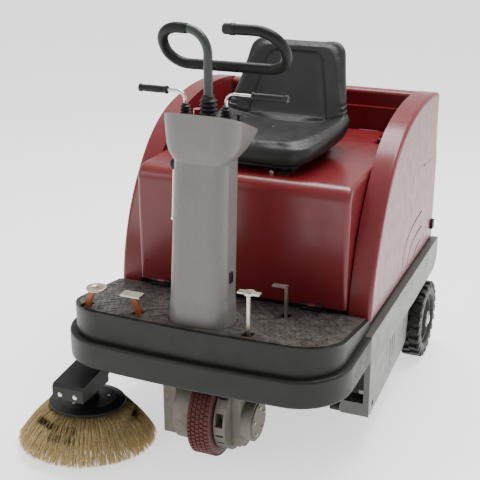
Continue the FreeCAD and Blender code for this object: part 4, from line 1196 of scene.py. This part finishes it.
def recess_latch():
    """Small latch housing that stands on the shelf behind the hood."""
    b = Builder()
    corners = []
    for z, g in ((797.5, 0), (838, 2)):
        for x, y in ((272 + g, 938 + g), (318 - g, 938 + g), (318 - g, 976 - g), (272 + g, 976 - g)):
            corners.append(at(x, y, z))
    b.block(corners)
    box = b.make("recess_latch_box", M["red"], False)
    bevel(box, 0.004, 3)
    piece(box, "chassis")
    path = [at(280 + 30 * k / 14.0, 957, 838 + 13 * math.sin(math.pi * k / 14.0)) for k in range(15)]
    bail = tube_mesh("recess_latch_bail", path, [0.0032] * 15, M["red"], 14)
    piece(bail, "chassis")


recess_latch()


# ---------- floor, light and camera

FLOOR_HALF = 60.0
LENS = 77.19
CAMERA_AT = (1122.46, -2303.47, 1727.3)
CAMERA_DOWN, CAMERA_TURN = 20.615, 22.473       # degrees


def studio():
    """Pale floor and world, three soft lights, and the photograph's camera."""
    mesh = bpy.data.meshes.new("floor")
    f = FLOOR_HALF
    mesh.from_pydata([(-f, -f, 0), (f, -f, 0), (f, f, 0), (-f, f, 0)], [], [(0, 1, 2, 3)])
    floor = bpy.data.objects.new("floor", mesh)
    bpy.context.scene.collection.objects.link(floor)
    mat, nt, bsdf = new_material("floor")
    tone = noise(nt, coord_of(nt), 3.0, 3.0, 0.5)
    pale = ramp(nt, tone, [(0.2, (0.80, 0.80, 0.79)), (0.8, (0.86, 0.86, 0.85))])
    nt.links.new(pale, bsdf.inputs["Base Color"])
    bsdf.inputs["Roughness"].default_value = 0.8
    bsdf.inputs["Emission Color"].default_value = (1.0, 1.0, 1.0, 1.0)
    bsdf.inputs["Emission Strength"].default_value = 1.1
    mesh.materials.append(mat)
    floor.location.z = -0.0005

    world = bpy.data.worlds.new("world")
    world.use_nodes = True
    background = world.node_tree.nodes["Background"]
    background.inputs["Color"].default_value = (1.0, 1.0, 1.0, 1.0)
    background.inputs["Strength"].default_value = 0.85
    bpy.context.scene.world = world

    def area(name, loc, target, size, power):
        data = bpy.data.lights.new(name, "AREA")
        data.shape = "RECTANGLE"
        data.size, data.size_y = size
        data.energy = power
        light = bpy.data.objects.new(name, data)
        light.location = loc
        light.rotation_euler = (Vector(target) - Vector(loc)).to_track_quat("-Z", "Y").to_euler()
        bpy.context.scene.collection.objects.link(light)

    area("top", (0.3, 0.9, 3.6), (0, 0.0, 0.6), (3.0, 1.6), 190)
    area("front_left", (-2.6, -3.2, 2.6), (0, 0, 0.7), (1.6, 2.0), 40)
    area("right_strip", (3.8, 2.2, 1.6), (0.3, 0.3, 0.6), (1.0, 2.4), 38)

    cam_data = bpy.data.cameras.new("camera")
    cam_data.sensor_width = 36.0
    cam_data.lens = LENS
    cam = bpy.data.objects.new("camera", cam_data)
    cam.location = at(*CAMERA_AT)
    cam.rotation_euler = (math.radians(90 - CAMERA_DOWN), 0, math.radians(CAMERA_TURN))
    bpy.context.scene.collection.objects.link(cam)
    bpy.context.scene.camera = cam


studio()
